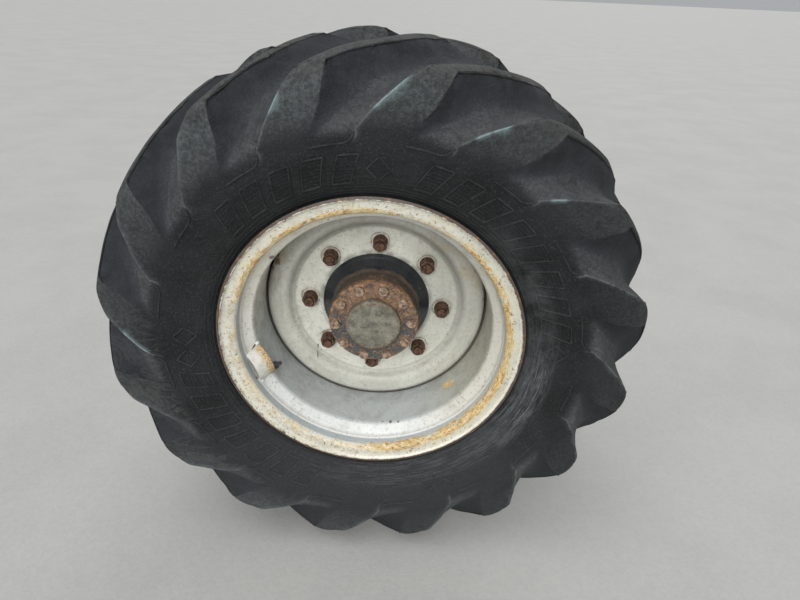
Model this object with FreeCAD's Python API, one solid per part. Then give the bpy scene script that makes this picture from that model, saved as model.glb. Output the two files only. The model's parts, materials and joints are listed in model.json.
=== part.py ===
import FreeCAD, Part
import math
import os

os.makedirs("parts", exist_ok=True)
Vec = FreeCAD.Vector

# Wheel of a site dumper with its hub, on the flanged axle end that carries it.
# Millimetres. +Z is up, the wheel turns about Y, and +Y points inboard to the machine.
# The origin is the centre of the axle end's mounting face. Clock angles run from +Z to +X.
# Radii are built up from the spindle outwards, each a step on the one before.

# Places along the axle
mount_to_disc = 230.0
rim_offset = 8.0
disc_face_y = -mount_to_disc
rim_centre_y = disc_face_y + rim_offset
overshoot = 1.0  # how far a cutting tool runs past the face that it cuts

# Spindle, and the hub's sizes from the spindle outwards
spindle_r = 60.0
spindle_clearance = 0.05
hub_nose_side = 27.5
hub_neck_step = 7.5
hub_shoulder_step = 8.5
hub_spigot_step = 6.7
hub_barrel_step = 3.8
hub_nose_r = spindle_r + hub_nose_side
hub_neck_r = hub_nose_r + hub_neck_step
hub_shoulder_r = hub_neck_r + hub_shoulder_step
hub_spigot_r = hub_shoulder_r + hub_spigot_step
hub_barrel_r = hub_spigot_r + hub_barrel_step
hub_spigot_rise = 3.0
hub_shoulder_rise = 6.0
hub_neck_rise = 9.0
hub_nose_rise = 17.0
hub_nose_swell = 1.5
hub_spigot_swell = 2.1
hub_spigot_out = hub_spigot_rise
hub_shoulder_out = hub_spigot_out + hub_shoulder_rise
hub_neck_out = hub_shoulder_out + hub_neck_rise
hub_nose_out = hub_neck_out + hub_nose_rise
hub_nose_wall = 7.0
hub_flange_t = 22.0
hub_barrel_length = 84.0
hub_edge = 4.0

# Wheel studs and nuts
stud_count = 8
stud_first_angle = -42.65
stud_r = 9.0
stud_head_r = 14.0
stud_head_t = 8.0
stud_head_room = 5.5
stud_show = 5.0
stud_hub_clearance = 0.1
stud_disc_clearance = 1.5
stud_circle_r = hub_barrel_r + hub_edge + stud_head_r + stud_head_room
nut_across_flats = 27.0
nut_out = 22.0
nut_seat_r = 15.0
nut_seat_t = 3.0
nut_clearance = 0.1
stud_out = nut_out + stud_show
hub_flange_margin = 27.5
hub_flange_r = stud_circle_r + hub_flange_margin

# Wheel disc: one dished plate, from the hub's spigot to the well of the rim
disc_wall = 12.0
disc_hole_clearance = 0.3
disc_flat_margin = 34.5
disc_crown_run = 14.0
disc_crown_rise = 19.0
disc_edge_run = 40.4
disc_edge_drop = 5.0
disc_skirt_depth = 40.0
disc_skirt_gap = 3.1
disc_bend_flat = 18.0
disc_bend_crown = 16.0
disc_bend_edge = 16.0
disc_hole_r = hub_spigot_r + disc_hole_clearance
disc_flat_r = stud_circle_r + disc_flat_margin
disc_crown_r = disc_flat_r + disc_crown_run
disc_skirt_r = disc_crown_r + disc_edge_run
weld_width = 8.0

# Rim: one bent strip, described by the side that shows
rim_wall = 6.0
rim_between_flanges = 330.0
rim_well_depth = 22.2
rim_flange_height = 25.4
rim_seat_width = 34.0
rim_slope_run = 17.0
rim_seat_taper = math.radians(5.0)
rim_lip_lean = math.radians(75.0)
rim_lip_reach = 6.6
rim_bend_well = 10.0
rim_bend_ridge = 8.0
rim_bend_root = 11.0
rim_bend_lip = 8.0
rim_well_r = disc_skirt_r + disc_skirt_gap
rim_seat_r = rim_well_r + rim_well_depth
rim_flange_top_r = rim_seat_r + rim_flange_height
rim_face = rim_between_flanges / 2 + rim_wall
rim_slope_half = rim_face - rim_seat_width
rim_well_half = rim_slope_half - rim_slope_run
rim_ridge_r = rim_seat_r - rim_seat_width * math.tan(rim_seat_taper)

# Hub cover with its bolts and centre cap
cover_height = 52.0
cover_lip = 0.5
cover_groove_depth = 2.0
cover_rim = 14.0
cover_edge = 3.0
cover_out = hub_nose_out + cover_height
cover_r = hub_nose_r + cover_lip
cover_groove_r = cover_r - cover_groove_depth
cover_bolt_count = 10
cover_bolt_inset = 12.5
cover_bolt_first_angle = 193.9
cover_bolt_r = 6.0
cover_bolt_depth = 30.0
cover_bolt_across_flats = 18.0
cover_bolt_head_t = 7.5
cover_bolt_clearance = 0.1
cover_bolt_circle_r = hub_nose_r - cover_bolt_inset
cap_inset = 21.0
cap_height = 14.0
cap_edge = 3.0
cap_plug_r = 9.0
cap_plug_depth = 2.5
cap_r = cover_bolt_circle_r - cap_inset
cap_out = cover_out + cap_height

# Axle end: mounting flange, arm and spindle in one casting
arm_step = 30.0
arm_fillet = 12.0
flange_t = 22.0
flange_bolt_count = 10
flange_bolt_step = 25.0
flange_margin = 20.0
flange_hole_r = 8.75
pilot_step = 10.0
pilot_length = 6.0
shoulder_step = 18.0
shoulder_t = 14.0
turning_gap = 5.0
spindle_end_gap = 6.0
shaft_bore_r = 27.0
shaft_bore_depth = 150.0
arm_r = spindle_r + arm_step
flange_bolt_circle_r = arm_r + flange_bolt_step
flange_r = flange_bolt_circle_r + flange_margin
pilot_r = arm_r - pilot_step
shoulder_r = arm_r + shoulder_step

# Tyre casing, from its beads on the rim to the floor of its grooves. It is faceted, for few faces.
tyre_facets = 64
bead_clearance = 0.2
bead_width = 27.0
bead_heel = 7.0
flange_contact = 12.0
flare_run = 11.2
flare_rise = 18.9
lower_wall_run = 22.0
lower_wall_rise = 49.0
bulge_run = 7.0
bulge_rise = 53.0
groove_side_run = 19.0
groove_side_rise = 28.0
groove_shoulder_run = 36.0
groove_shoulder_rise = 38.0
groove_centre_rise = 38.0
side_wall = 20.0
side_wall_top = 23.0
shoulder_wall_run = 10.0
shoulder_wall_rise = 15.0
crown_wall = 25.5
bead_face = rim_between_flanges / 2 - bead_clearance
bead_seat_r = rim_seat_r + rim_wall + bead_clearance
flare_half_width = bead_face + flare_run
flare_r = rim_flange_top_r + flare_rise
lower_wall_half_width = flare_half_width + lower_wall_run
lower_wall_r = flare_r + lower_wall_rise
tyre_half_width = lower_wall_half_width + bulge_run
tyre_bulge_r = lower_wall_r + bulge_rise
groove_side_half_width = tyre_half_width - groove_side_run
groove_side_r = tyre_bulge_r + groove_side_rise
groove_shoulder_half_width = groove_side_half_width - groove_shoulder_run
groove_shoulder_r = groove_side_r + groove_shoulder_rise
groove_centre_r = groove_shoulder_r + groove_centre_rise

# Lugs: a ring of them on each shoulder, half a pitch apart, worn down to the tyre's full radius
lug_count = 16
lug_first_angle = -6.0
lug_height = 24.0
lug_shoulder_run = 16.0
lug_shoulder_rise = 30.0
lug_foot_sink = 5.0
lug_foot_drop = 18.0
lug_face_inset = 2.0
lug_face_rise = 4.0
lug_crown_half_width = 104.0
lug_nose_half_width = 18.0
lug_root = 9.0
tyre_r = groove_centre_r + lug_height
lug_shoulder_half_width = tyre_half_width - lug_shoulder_run
lug_shoulder_r = groove_shoulder_r + lug_shoulder_rise

# Valve in the well, with the bent strap that guards it
guard_angle = -111.0
guard_half_chord = 34.0
guard_rise = 24.0
guard_wall = 4.0
guard_width = 34.0
valve_angle = -119.0
valve_in = 22.0
valve_base_r = 8.0
valve_base_t = 5.0
valve_stem_r = 4.2
valve_stem_rise = 13.0
valve_stem_run = 30.0
valve_stem_turn = math.radians(35.0)
valve_stem_lean = math.radians(15.0)
valve_cap_r = 5.4
valve_cap_length = 14.0


def place(angle_deg, r, y):
    """Point at a clock angle, a distance from the axle and a place along it."""
    a = math.radians(angle_deg)
    return Vec(r * math.sin(a), y, r * math.cos(a))


def export(node, shape):
    """Write one node, checked to be closed solids."""
    if not shape.isValid():
        raise ValueError(node + " is not valid")
    shape.exportStep("parts/" + node + ".step")
    print(node, "solids", len(shape.Solids), "cm3", round(shape.Volume / 1000.0, 1))


def outline_edges(rows):
    """Edges through rows of (y, r), or (y, r, via_y, via_r) where an arc leads to the row."""
    edges = []
    for before, row in zip(rows, rows[1:]):
        start = Vec(0, before[0], before[1])
        end = Vec(0, row[0], row[1])
        if start.distanceToPoint(end) < 1e-6:
            continue
        if len(row) == 4:
            edges.append(Part.Arc(start, Vec(0, row[2], row[3]), end).toShape())
        else:
            edges.append(Part.LineSegment(start, end).toShape())
    return edges


def turned(rows):
    """Solid of the closed outline in rows, turned about the axle."""
    edges = outline_edges(rows + [rows[0][:2]])
    face = Part.Face(Part.Wire(edges))
    solid = face.revolve(Vec(0, 0, 0), Vec(0, 1, 0), 360)
    return solid if solid.Volume > 0 else solid.reversed()


def rounded(corners):
    """Outline rows for corners of (y, r, bend radius), each corner rounded by its arc."""
    rows = [tuple(corners[0][:2])]
    for before, here, after in zip(corners, corners[1:], corners[2:]):
        back = Vec(before[0] - here[0], before[1] - here[1], 0).normalize()
        on = Vec(after[0] - here[0], after[1] - here[1], 0).normalize()
        turn = math.pi - back.getAngle(on)
        if here[2] <= 0.01 or turn < 1e-4:
            rows.append(tuple(here[:2]))
            continue
        reach = here[2] * math.tan(turn / 2)
        corner = Vec(here[0], here[1], 0)
        start = corner + back * reach
        end = corner + on * reach
        middle_way = (back + on).normalize()
        middle = corner + middle_way * (here[2] / math.cos(turn / 2) - here[2])
        rows.append((start.x, start.y))
        rows.append((end.x, end.y, middle.x, middle.y))
    rows.append(tuple(corners[-1][:2]))
    return rows


def offset_corners(corners, wall):
    """The same corners moved sideways by the wall, to the left of the way they run."""
    ways = [Vec(b[0] - a[0], b[1] - a[1], 0).normalize() for a, b in zip(corners, corners[1:])]
    moved = []
    for i, (y, r, bend) in enumerate(corners):
        way_in = ways[max(i - 1, 0)]
        way_out = ways[min(i, len(ways) - 1)]
        left_in = Vec(-way_in.y, way_in.x, 0)
        left_out = Vec(-way_out.y, way_out.x, 0)
        mitre = (left_in + left_out).normalize()
        step = mitre * (wall / mitre.dot(left_in))
        turns_left = way_in.x * way_out.y - way_in.y * way_out.x > 0
        new_bend = bend - wall if turns_left else bend + wall
        moved.append((y + step.x, r + step.y, max(new_bend, 0.0) if bend > 0 else 0.0))
    return moved


def bent_strip(corners, wall):
    """Outline of a strip of even wall that follows rounded corners."""
    near = rounded(corners)
    far = rounded([c for c in reversed(offset_corners(corners, wall))])
    return near + far


def hexagon(across_flats, start_y, end_y):
    """Six-sided prism along the axle's direction, between two places on it."""
    corner_r = across_flats / 2 / math.cos(math.pi / 6)
    points = [Vec(corner_r * math.sin(k * math.pi / 3), start_y, corner_r * math.cos(k * math.pi / 3))
              for k in range(7)]
    face = Part.Face(Part.makePolygon(points))
    return face.extrude(Vec(0, end_y - start_y, 0))


def rod(r, start, end):
    """Round bar between two points."""
    way = end - start
    return Part.makeCylinder(r, way.Length, start, way)


def around(shape, angle_deg, circle_r):
    """Copy of a shape made on the axle's line, moved to a place on a circle round it."""
    copy = shape.copy()
    copy.rotate(Vec(0, 0, 0), Vec(0, 1, 0), angle_deg)
    copy.translate(place(angle_deg, circle_r, 0))
    return copy


def angles(first, count):
    """Evenly spaced clock angles."""
    return [first + k * 360.0 / count for k in range(count)]


def rim_corners():
    """Corners of the rim's inner side, from the outboard lip to the inboard one."""
    lip_y = rim_face + rim_lip_reach * math.sin(rim_lip_lean)
    lip_r = rim_flange_top_r + rim_lip_reach * math.cos(rim_lip_lean)
    half = [
        (lip_y, lip_r, 0.0),
        (rim_face, rim_flange_top_r, rim_bend_lip),
        (rim_face, rim_seat_r, rim_bend_root),
        (rim_slope_half, rim_ridge_r, rim_bend_ridge),
        (rim_well_half, rim_well_r, rim_bend_well),
    ]
    outboard = [(rim_centre_y - y, r, bend) for y, r, bend in half]
    inboard = [(rim_centre_y + y, r, bend) for y, r, bend in reversed(half)]
    return outboard + inboard


def make_rim():
    """The rim, before the valve's hole."""
    return turned(bent_strip(rim_corners(), rim_wall))


def make_disc():
    """The dished disc with its stud holes, its outer side described from the hole outwards."""
    corners = [
        (disc_face_y, disc_hole_r, 0.0),
        (disc_face_y, disc_flat_r, disc_bend_flat),
        (disc_face_y - disc_crown_rise, disc_crown_r, disc_bend_crown),
        (disc_face_y - disc_crown_rise + disc_edge_drop, disc_skirt_r, disc_bend_edge),
        (disc_face_y + disc_skirt_depth, disc_skirt_r, 0.0),
    ]
    disc = turned(bent_strip(corners, -disc_wall))
    hole_r = stud_r + stud_disc_clearance
    start = Vec(0, disc_face_y - overshoot, 0)
    hole = rod(hole_r, start, Vec(0, disc_face_y + disc_wall + overshoot, 0))
    holes = [around(hole, a, stud_circle_r) for a in angles(stud_first_angle, stud_count)]
    return disc.cut(Part.makeCompound(holes))


def make_weld():
    """Ring of weld between the skirt's inboard end and the well."""
    end_y = disc_face_y + disc_skirt_depth
    return turned([
        (end_y - weld_width, disc_skirt_r),
        (end_y, disc_skirt_r),
        (end_y, disc_skirt_r - disc_skirt_gap),
        (end_y + weld_width / 2, rim_well_r),
        (end_y - weld_width, rim_well_r),
    ])


def hub_end_y():
    """Inboard end of the hub's barrel."""
    return disc_face_y + disc_wall + hub_flange_t + hub_barrel_length


def make_hub():
    """Hub with its stud flange, centring shoulder, nose and blind spindle bore."""
    seat_y = disc_face_y + disc_wall
    back_y = seat_y + hub_flange_t
    end_y = hub_end_y()
    bore_r = spindle_r + spindle_clearance
    nose_y = disc_face_y - hub_nose_out
    hub = turned([
        (nose_y, 0),
        (nose_y, hub_nose_r),
        (disc_face_y - hub_neck_out, hub_neck_r,
         disc_face_y - (hub_nose_out + hub_neck_out) / 2, hub_nose_r + hub_nose_swell),
        (disc_face_y - hub_shoulder_out, hub_shoulder_r),
        (disc_face_y - hub_spigot_out, hub_spigot_r,
         disc_face_y - hub_spigot_out - hub_spigot_swell, hub_spigot_r - hub_spigot_swell),
        (seat_y, hub_spigot_r),
        (seat_y, hub_flange_r),
        (back_y, hub_flange_r),
        (back_y, hub_barrel_r + hub_edge),
        (back_y + hub_edge, hub_barrel_r),
        (end_y - hub_edge, hub_barrel_r),
        (end_y, hub_barrel_r - hub_edge),
        (end_y, bore_r),
        (nose_y + hub_nose_wall, bore_r),
        (nose_y + hub_nose_wall, 0),
    ])
    hole_r = stud_r + stud_hub_clearance
    hole = rod(hole_r, Vec(0, seat_y - overshoot, 0), Vec(0, back_y + overshoot, 0))
    holes = [around(hole, a, stud_circle_r) for a in angles(stud_first_angle, stud_count)]
    return hub.cut(Part.makeCompound(holes))


def make_stud():
    """Wheel stud with its head behind the hub's flange."""
    back_y = disc_face_y + disc_wall + hub_flange_t
    shank = rod(stud_r, Vec(0, disc_face_y - stud_out, 0), Vec(0, back_y, 0))
    head = rod(stud_head_r, Vec(0, back_y, 0), Vec(0, back_y + stud_head_t, 0))
    return shank.fuse(head).removeSplitter()


def make_nut():
    """Wheel nut with its round seat."""
    seat_y = disc_face_y - nut_seat_t
    seat = rod(nut_seat_r, Vec(0, seat_y, 0), Vec(0, disc_face_y, 0))
    nut = hexagon(nut_across_flats, disc_face_y - nut_out, seat_y).fuse(seat)
    start = Vec(0, disc_face_y - nut_out - overshoot, 0)
    return nut.cut(rod(stud_r + nut_clearance, start, Vec(0, disc_face_y + overshoot, 0)))


def make_cover():
    """Round hub cover with blind holes for its bolts."""
    front_y = disc_face_y - cover_out
    nose_y = disc_face_y - hub_nose_out
    groove_y = front_y + cover_rim
    cover = turned([
        (front_y, 0),
        (front_y, cover_r - cover_edge),
        (front_y + cover_edge, cover_r),
        (groove_y, cover_r),
        (groove_y + cover_edge, cover_groove_r),
        (nose_y - cover_edge, cover_groove_r),
        (nose_y, hub_nose_r),
        (nose_y, 0),
    ])
    hole_r = cover_bolt_r + cover_bolt_clearance
    end_y = front_y + cover_bolt_depth + overshoot
    hole = rod(hole_r, Vec(0, front_y - overshoot, 0), Vec(0, end_y, 0))
    places = angles(cover_bolt_first_angle, cover_bolt_count)
    return cover.cut(Part.makeCompound([around(hole, a, cover_bolt_circle_r) for a in places]))


def make_cover_bolt():
    """Hexagon bolt of the hub cover."""
    front_y = disc_face_y - cover_out
    head = hexagon(cover_bolt_across_flats, front_y - cover_bolt_head_t, front_y)
    shank = rod(cover_bolt_r, Vec(0, front_y, 0), Vec(0, front_y + cover_bolt_depth, 0))
    return head.fuse(shank)


def make_cap():
    """Raised centre cap with the shallow socket of its plug."""
    front_y = disc_face_y - cap_out
    return turned([
        (front_y + cap_plug_depth, 0),
        (front_y + cap_plug_depth, cap_plug_r),
        (front_y, cap_plug_r),
        (front_y, cap_r - cap_edge),
        (front_y + cap_edge, cap_r),
        (disc_face_y - cover_out, cap_r),
        (disc_face_y - cover_out, 0),
    ])


def make_axle_end():
    """Casting of mounting flange, arm, shoulder and spindle, with the half shaft's bore."""
    shoulder_y = hub_end_y() + turning_gap
    spindle_end_y = disc_face_y - hub_nose_out + hub_nose_wall + spindle_end_gap
    casting = turned([
        (pilot_length, 0),
        (pilot_length, pilot_r),
        (0, pilot_r),
        (0, flange_r),
        (-flange_t, flange_r),
        (-flange_t, arm_r + arm_fillet),
        (-flange_t - arm_fillet, arm_r),
        (shoulder_y + shoulder_t + shoulder_r - arm_r, arm_r),
        (shoulder_y + shoulder_t, shoulder_r),
        (shoulder_y, shoulder_r),
        (shoulder_y, spindle_r),
        (spindle_end_y, spindle_r),
        (spindle_end_y, 0),
    ])
    bore_end = Vec(0, pilot_length - shaft_bore_depth, 0)
    bore = rod(shaft_bore_r, bore_end, Vec(0, pilot_length + overshoot, 0))
    hole = rod(flange_hole_r, Vec(0, -flange_t - overshoot, 0), Vec(0, overshoot, 0))
    holes = [around(hole, a, flange_bolt_circle_r) for a in angles(0, flange_bolt_count)]
    return casting.cut(Part.makeCompound(holes + [bore]))


def flat_face(points):
    """Flat face with these corners."""
    return Part.Face(Part.makePolygon(points + [points[0]]))


def solid_of(faces):
    """Solid inside a closed set of flat faces."""
    solid = Part.makeSolid(Part.makeShell(faces))
    return solid if solid.Volume > 0 else solid.reversed()


def make_casing():
    """Hollow casing with its beads, its round sections cut into flat facets."""
    taper = math.tan(rim_seat_taper)
    half = [
        (0.0, groove_centre_r),
        (groove_shoulder_half_width, groove_shoulder_r),
        (groove_side_half_width, groove_side_r),
        (tyre_half_width, tyre_bulge_r),
        (lower_wall_half_width, lower_wall_r),
        (flare_half_width, flare_r),
        (bead_face, bead_seat_r + bead_heel + flange_contact),
        (bead_face - bead_heel, bead_seat_r - bead_heel * taper),
        (bead_face - bead_width, bead_seat_r - bead_width * taper),
        (tyre_half_width - side_wall, tyre_bulge_r - side_wall_top),
        (groove_shoulder_half_width - shoulder_wall_run, groove_shoulder_r - shoulder_wall_rise),
        (0.0, groove_centre_r - crown_wall),
    ]
    section = half + [(-s, r) for s, r in reversed(half[1:-1])]
    # a facet's middle keeps the radius, so its corners stand out a little
    corner_share = 1.0 / math.cos(math.pi / tyre_facets)
    spots = angles(lug_first_angle, tyre_facets)
    rings = [[place(a, r * corner_share, rim_centre_y - s) for a in spots] for s, r in section]
    faces = []
    for ring, following in zip(rings, rings[1:] + rings[:1]):
        for k in range(tyre_facets):
            n = (k + 1) % tyre_facets
            faces.append(flat_face([ring[k], ring[n], following[n], following[k]]))
    return solid_of(faces)


def crown_r(half_width):
    """Radius of the lugs' tops, on the arc over both shoulders and the tyre's full size."""
    rise = tyre_r - lug_shoulder_r
    arc_r = (rise ** 2 + lug_shoulder_half_width ** 2) / (2 * rise)
    return tyre_r - arc_r + math.sqrt(arc_r ** 2 - half_width ** 2)


def groove_r(half_width):
    """Radius of the groove floor between the shoulders."""
    return groove_centre_r - groove_centre_rise * half_width / groove_shoulder_half_width


def make_lug():
    """Outboard lug at clock angle 0: a leaning bar from the side wall over the shoulder."""
    # degrees of its crest, of its trailing edge, of the flank before and of the flank behind,
    # then half width and radius of its top, and of its root inside the casing
    rows = [
        (0.5, 13.5, 2.0, 1.5, tyre_half_width - lug_foot_sink, tyre_bulge_r - lug_foot_drop,
         tyre_half_width - lug_foot_sink - lug_root, tyre_bulge_r - lug_foot_drop),
        (6.0, 17.0, 8.0, 3.5, tyre_half_width - lug_face_inset, groove_side_r + lug_face_rise,
         groove_side_half_width - lug_root, groove_side_r - lug_root),
        (14.0, 19.5, 7.5, 6.0, lug_shoulder_half_width, lug_shoulder_r,
         groove_shoulder_half_width - lug_root, groove_shoulder_r - lug_root),
        (27.1, 31.9, 6.0, 6.0, lug_crown_half_width, crown_r(lug_crown_half_width),
         lug_crown_half_width, groove_r(lug_crown_half_width) - lug_root),
        (35.8, 40.2, 5.0, 5.0, lug_nose_half_width, crown_r(lug_nose_half_width),
         lug_nose_half_width, groove_r(lug_nose_half_width) - lug_root),
    ]
    rings = []
    for crest, trail, before, behind, top_s, top_r, root_s, root_r in rows:
        rings.append([
            place(crest - before, root_r, rim_centre_y - root_s),
            place(crest, top_r, rim_centre_y - top_s),
            place(trail, top_r, rim_centre_y - top_s),
            place(trail + behind, root_r, rim_centre_y - root_s),
        ])
    faces = []
    for ring, following in zip(rings, rings[1:]):
        for k in range(4):
            n = (k + 1) % 4
            faces.append(flat_face([ring[k], ring[n], following[n]]))
            faces.append(flat_face([ring[k], following[n], following[k]]))
    for ring in (rings[0], rings[-1]):
        faces.append(flat_face([ring[0], ring[1], ring[2]]))
        faces.append(flat_face([ring[0], ring[2], ring[3]]))
    return solid_of(faces)


def make_tyre():
    """Casing with the lugs of both shoulders fused to it."""
    outboard = make_lug()
    inboard = outboard.mirror(Vec(0, rim_centre_y, 0), Vec(0, 1, 0))
    half_pitch = 180.0 / lug_count
    lugs = []
    for lug, first in ((outboard, lug_first_angle), (inboard, lug_first_angle + half_pitch)):
        for angle in angles(first, lug_count):
            lugs.append(around(lug, angle, 0.0))
    return make_casing().fuse(lugs).removeSplitter()


def slope_frame():
    """Middle of the rim's outboard slope at the guard, with its ways along, across and off it."""
    a = math.radians(guard_angle)
    out = Vec(math.sin(a), 0, math.cos(a))
    along = Vec(math.cos(a), 0, -math.sin(a))
    foot = Vec(0, rim_centre_y - rim_well_half, 0) + out * rim_well_r
    ridge = Vec(0, rim_centre_y - rim_slope_half, 0) + out * rim_ridge_r
    across = (ridge - foot).normalize()
    off = across.cross(along)
    if off.dot(out) > 0:
        off = off * -1
    return (foot + ridge) * 0.5, along, across, off


def make_guard():
    """Bent strap welded across the slope, over the valve."""
    middle, along, across, off = slope_frame()
    side = rounded(rim_corners())
    far_r = rim_flange_top_r + guard_width
    beyond_side = turned(side + [(side[-1][0], far_r), (side[0][0], far_r)])
    start = middle - across * (guard_width / 2)

    def point(side, rise):
        return start + along * side + off * rise

    inner_chord = guard_half_chord - guard_wall
    inner_rise = guard_rise - guard_wall
    edges = [
        Part.Arc(point(-guard_half_chord, 0), point(0, guard_rise), point(guard_half_chord, 0)).toShape(),
        Part.LineSegment(point(guard_half_chord, 0), point(inner_chord, 0)).toShape(),
        Part.Arc(point(inner_chord, 0), point(0, inner_rise), point(-inner_chord, 0)).toShape(),
        Part.LineSegment(point(-inner_chord, 0), point(-guard_half_chord, 0)).toShape(),
    ]
    strap = Part.Face(Part.Wire(edges)).extrude(across * guard_width)
    return strap.cut(beyond_side)


def valve_points():
    """Foot on the well, elbow, and the stem's end under the guard."""
    y = rim_centre_y - rim_well_half + valve_in
    foot = place(valve_angle, rim_well_r, y)
    elbow = place(valve_angle, rim_well_r - valve_stem_rise, y)
    a = math.radians(valve_angle)
    along = Vec(math.cos(a), 0, -math.sin(a))
    out = Vec(math.sin(a), 0, math.cos(a))
    flat_way = Vec(0, -math.cos(valve_stem_turn), 0) + along * math.sin(valve_stem_turn)
    way = flat_way * math.cos(valve_stem_lean) + out * math.sin(valve_stem_lean)
    return foot, elbow, elbow + way * valve_stem_run, way


def make_valve():
    """Valve base, stem and elbow in one, through the wall of the well."""
    foot, elbow, end, way = valve_points()
    out = (foot - elbow).normalize()
    base = rod(valve_base_r, foot, foot - out * valve_base_t)
    root = rod(valve_stem_r, foot + out * rim_wall, elbow)
    knee = Part.makeSphere(valve_stem_r, elbow)
    stem = rod(valve_stem_r, elbow, end)
    return base.fuse([root, knee, stem]).removeSplitter()


def make_valve_cap():
    """Cap on the end of the valve's stem."""
    foot, elbow, end, way = valve_points()
    return rod(valve_cap_r, end, end + way * valve_cap_length)


def main():
    """Build every node and write it."""
    rim = make_rim()
    foot, elbow, end, way = valve_points()
    out = (foot - elbow).normalize()
    valve_hole = rod(valve_stem_r, foot - out * overshoot, foot + out * (rim_wall + overshoot))
    valve = make_valve()
    # the base's flat foot is trimmed to the round of the well
    valve = valve.cut(rim.cut(valve_hole))

    export("axle_end", make_axle_end())
    export("tyre", make_tyre())
    export("rim", rim.cut(valve_hole))
    export("wheel_disc", make_disc())
    export("disc_weld", make_weld())
    export("hub", make_hub())
    export("hub_cover", make_cover())
    export("cover_cap", make_cap())
    export("valve_guard", make_guard())
    export("valve_stem", valve)
    export("valve_cap", make_valve_cap())
    stud = make_stud()
    nut = make_nut()
    for k, angle in enumerate(angles(stud_first_angle, stud_count), 1):
        export("wheel_stud_%d" % k, around(stud, angle, stud_circle_r))
        export("wheel_nut_%d" % k, around(nut, angle, stud_circle_r))
    bolt = make_cover_bolt()
    for k, angle in enumerate(angles(cover_bolt_first_angle, cover_bolt_count), 1):
        export("cover_bolt_%02d" % k, around(bolt, angle, cover_bolt_circle_r))


main()
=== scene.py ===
import json
import math
import bpy
import numpy as np
from mathutils import Matrix, Vector


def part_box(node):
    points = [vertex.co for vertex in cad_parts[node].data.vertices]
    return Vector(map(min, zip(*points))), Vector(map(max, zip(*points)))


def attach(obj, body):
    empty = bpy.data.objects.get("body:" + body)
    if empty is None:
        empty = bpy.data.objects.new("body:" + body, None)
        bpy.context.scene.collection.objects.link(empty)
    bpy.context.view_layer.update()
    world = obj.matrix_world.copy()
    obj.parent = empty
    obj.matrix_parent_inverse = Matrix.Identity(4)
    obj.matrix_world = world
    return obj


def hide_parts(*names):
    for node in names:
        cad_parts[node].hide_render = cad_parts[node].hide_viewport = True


# Dumper wheel: worn lugged tyre, cream rim with rust, grey disc, black hub with a rusty cover.
# Metres, apart from the values named for the wheel's sections, which are millimetres.
# Clock angles run from +Z to +X, and the wheel turns about Y. -Y faces the camera.

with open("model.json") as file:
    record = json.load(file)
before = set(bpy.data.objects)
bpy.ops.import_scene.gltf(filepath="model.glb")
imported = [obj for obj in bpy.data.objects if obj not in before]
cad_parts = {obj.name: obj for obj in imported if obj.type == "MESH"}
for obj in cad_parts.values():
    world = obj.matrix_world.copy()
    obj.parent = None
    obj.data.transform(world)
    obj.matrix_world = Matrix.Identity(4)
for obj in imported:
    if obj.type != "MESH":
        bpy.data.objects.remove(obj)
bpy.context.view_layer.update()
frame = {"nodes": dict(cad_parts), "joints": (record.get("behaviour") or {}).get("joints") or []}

mm = 0.001
rimCentre = frame["joints"][0]["pos_m"][1]  # the rim's centre plane lies on the joint
discFace = rimCentre / mm - 8  # outer face of the disc, in millimetres


# arrays, curves and noise

def smoothStep(x, low=0, high=1):
    # 0 below low, 1 above high, and 3x^2 - 2x^3 between
    x = np.clip((np.asarray(x, float) - low) / (high - low), 0, 1)
    return x * x * (3 - 2 * x)


def hump(x, centre, width):
    # bell curve, 1 at its centre
    return np.exp(-np.square((np.asarray(x, float) - centre) / width))


def throughPoints(points, count):
    # even spots on a Catmull-Rom curve: each stretch is the cubic set by its four nearest points
    p = np.array(points, float)
    p = np.vstack([2 * p[0] - p[1], p, 2 * p[-1] - p[-2]])
    t = np.linspace(0, len(points) - 1, count * 8)
    k = np.minimum(t.astype(int), len(points) - 2)
    f = (t - k)[:, None]
    a, b, c, d = p[k], p[k + 1], p[k + 2], p[k + 3]
    square, cube = 2 * a - 5 * b + 4 * c - d, 3 * b - a - 3 * c + d
    curve = 0.5 * (2 * b + (c - a) * f + square * f ** 2 + cube * f ** 3)
    run = np.r_[0, np.cumsum(np.linalg.norm(np.diff(curve, axis=0), axis=1))]
    spots = np.linspace(0, run[-1], count)
    return np.stack([np.interp(spots, run, curve[:, i]) for i in range(curve.shape[1])], 1)


def latticeNoise(points, scale, seed):
    # smooth noise from -1 to 1: values hashed at a cubic lattice's corners, blended by x^2(3 - 2x)
    q = np.asarray(points, float) * scale + 100
    cell = np.floor(q).astype(np.int64)
    f = q - cell
    f = f * f * (3 - 2 * f)
    total = np.zeros(q.shape[:-1])
    for corner in range(8):
        bits = np.array([corner & 1, corner >> 1 & 1, corner >> 2 & 1])
        c = cell + bits
        h = (c[..., 0] * 73856093) ^ (c[..., 1] * 19349663) ^ (c[..., 2] * 83492791) ^ (seed * 2654435761)
        h = (h ^ (h >> 13)) * 1274126177
        value = ((h >> 7) & 0xFFFF) / 32767.5 - 1
        weight = np.prod(np.where(bits, f, 1 - f), axis=-1)
        total += value * weight
    return total


def roughNoise(points, scale, seed):
    # three layers of the smooth noise, each twice as fine and half as strong
    return sum(latticeNoise(points, scale * 2 ** k, seed + k) * 0.5 ** k for k in range(3))


def onWheel(angle, radius, along):
    # points at clock angles in degrees, a radius, and a place along the axle
    a, radius, along = np.broadcast_arrays(np.radians(angle), radius, along)
    return np.stack([radius * np.sin(a), along, radius * np.cos(a)], -1)


def gridNormals(points):
    # unit normals of a grid that closes round its columns: the cross product of its two differences
    across = (np.roll(points, -1, 1) - np.roll(points, 1, 1)) / 2
    normal = np.cross(np.gradient(points, axis=0), across)
    return normal / np.maximum(np.linalg.norm(normal, axis=-1, keepdims=True), 1e-12)


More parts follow.
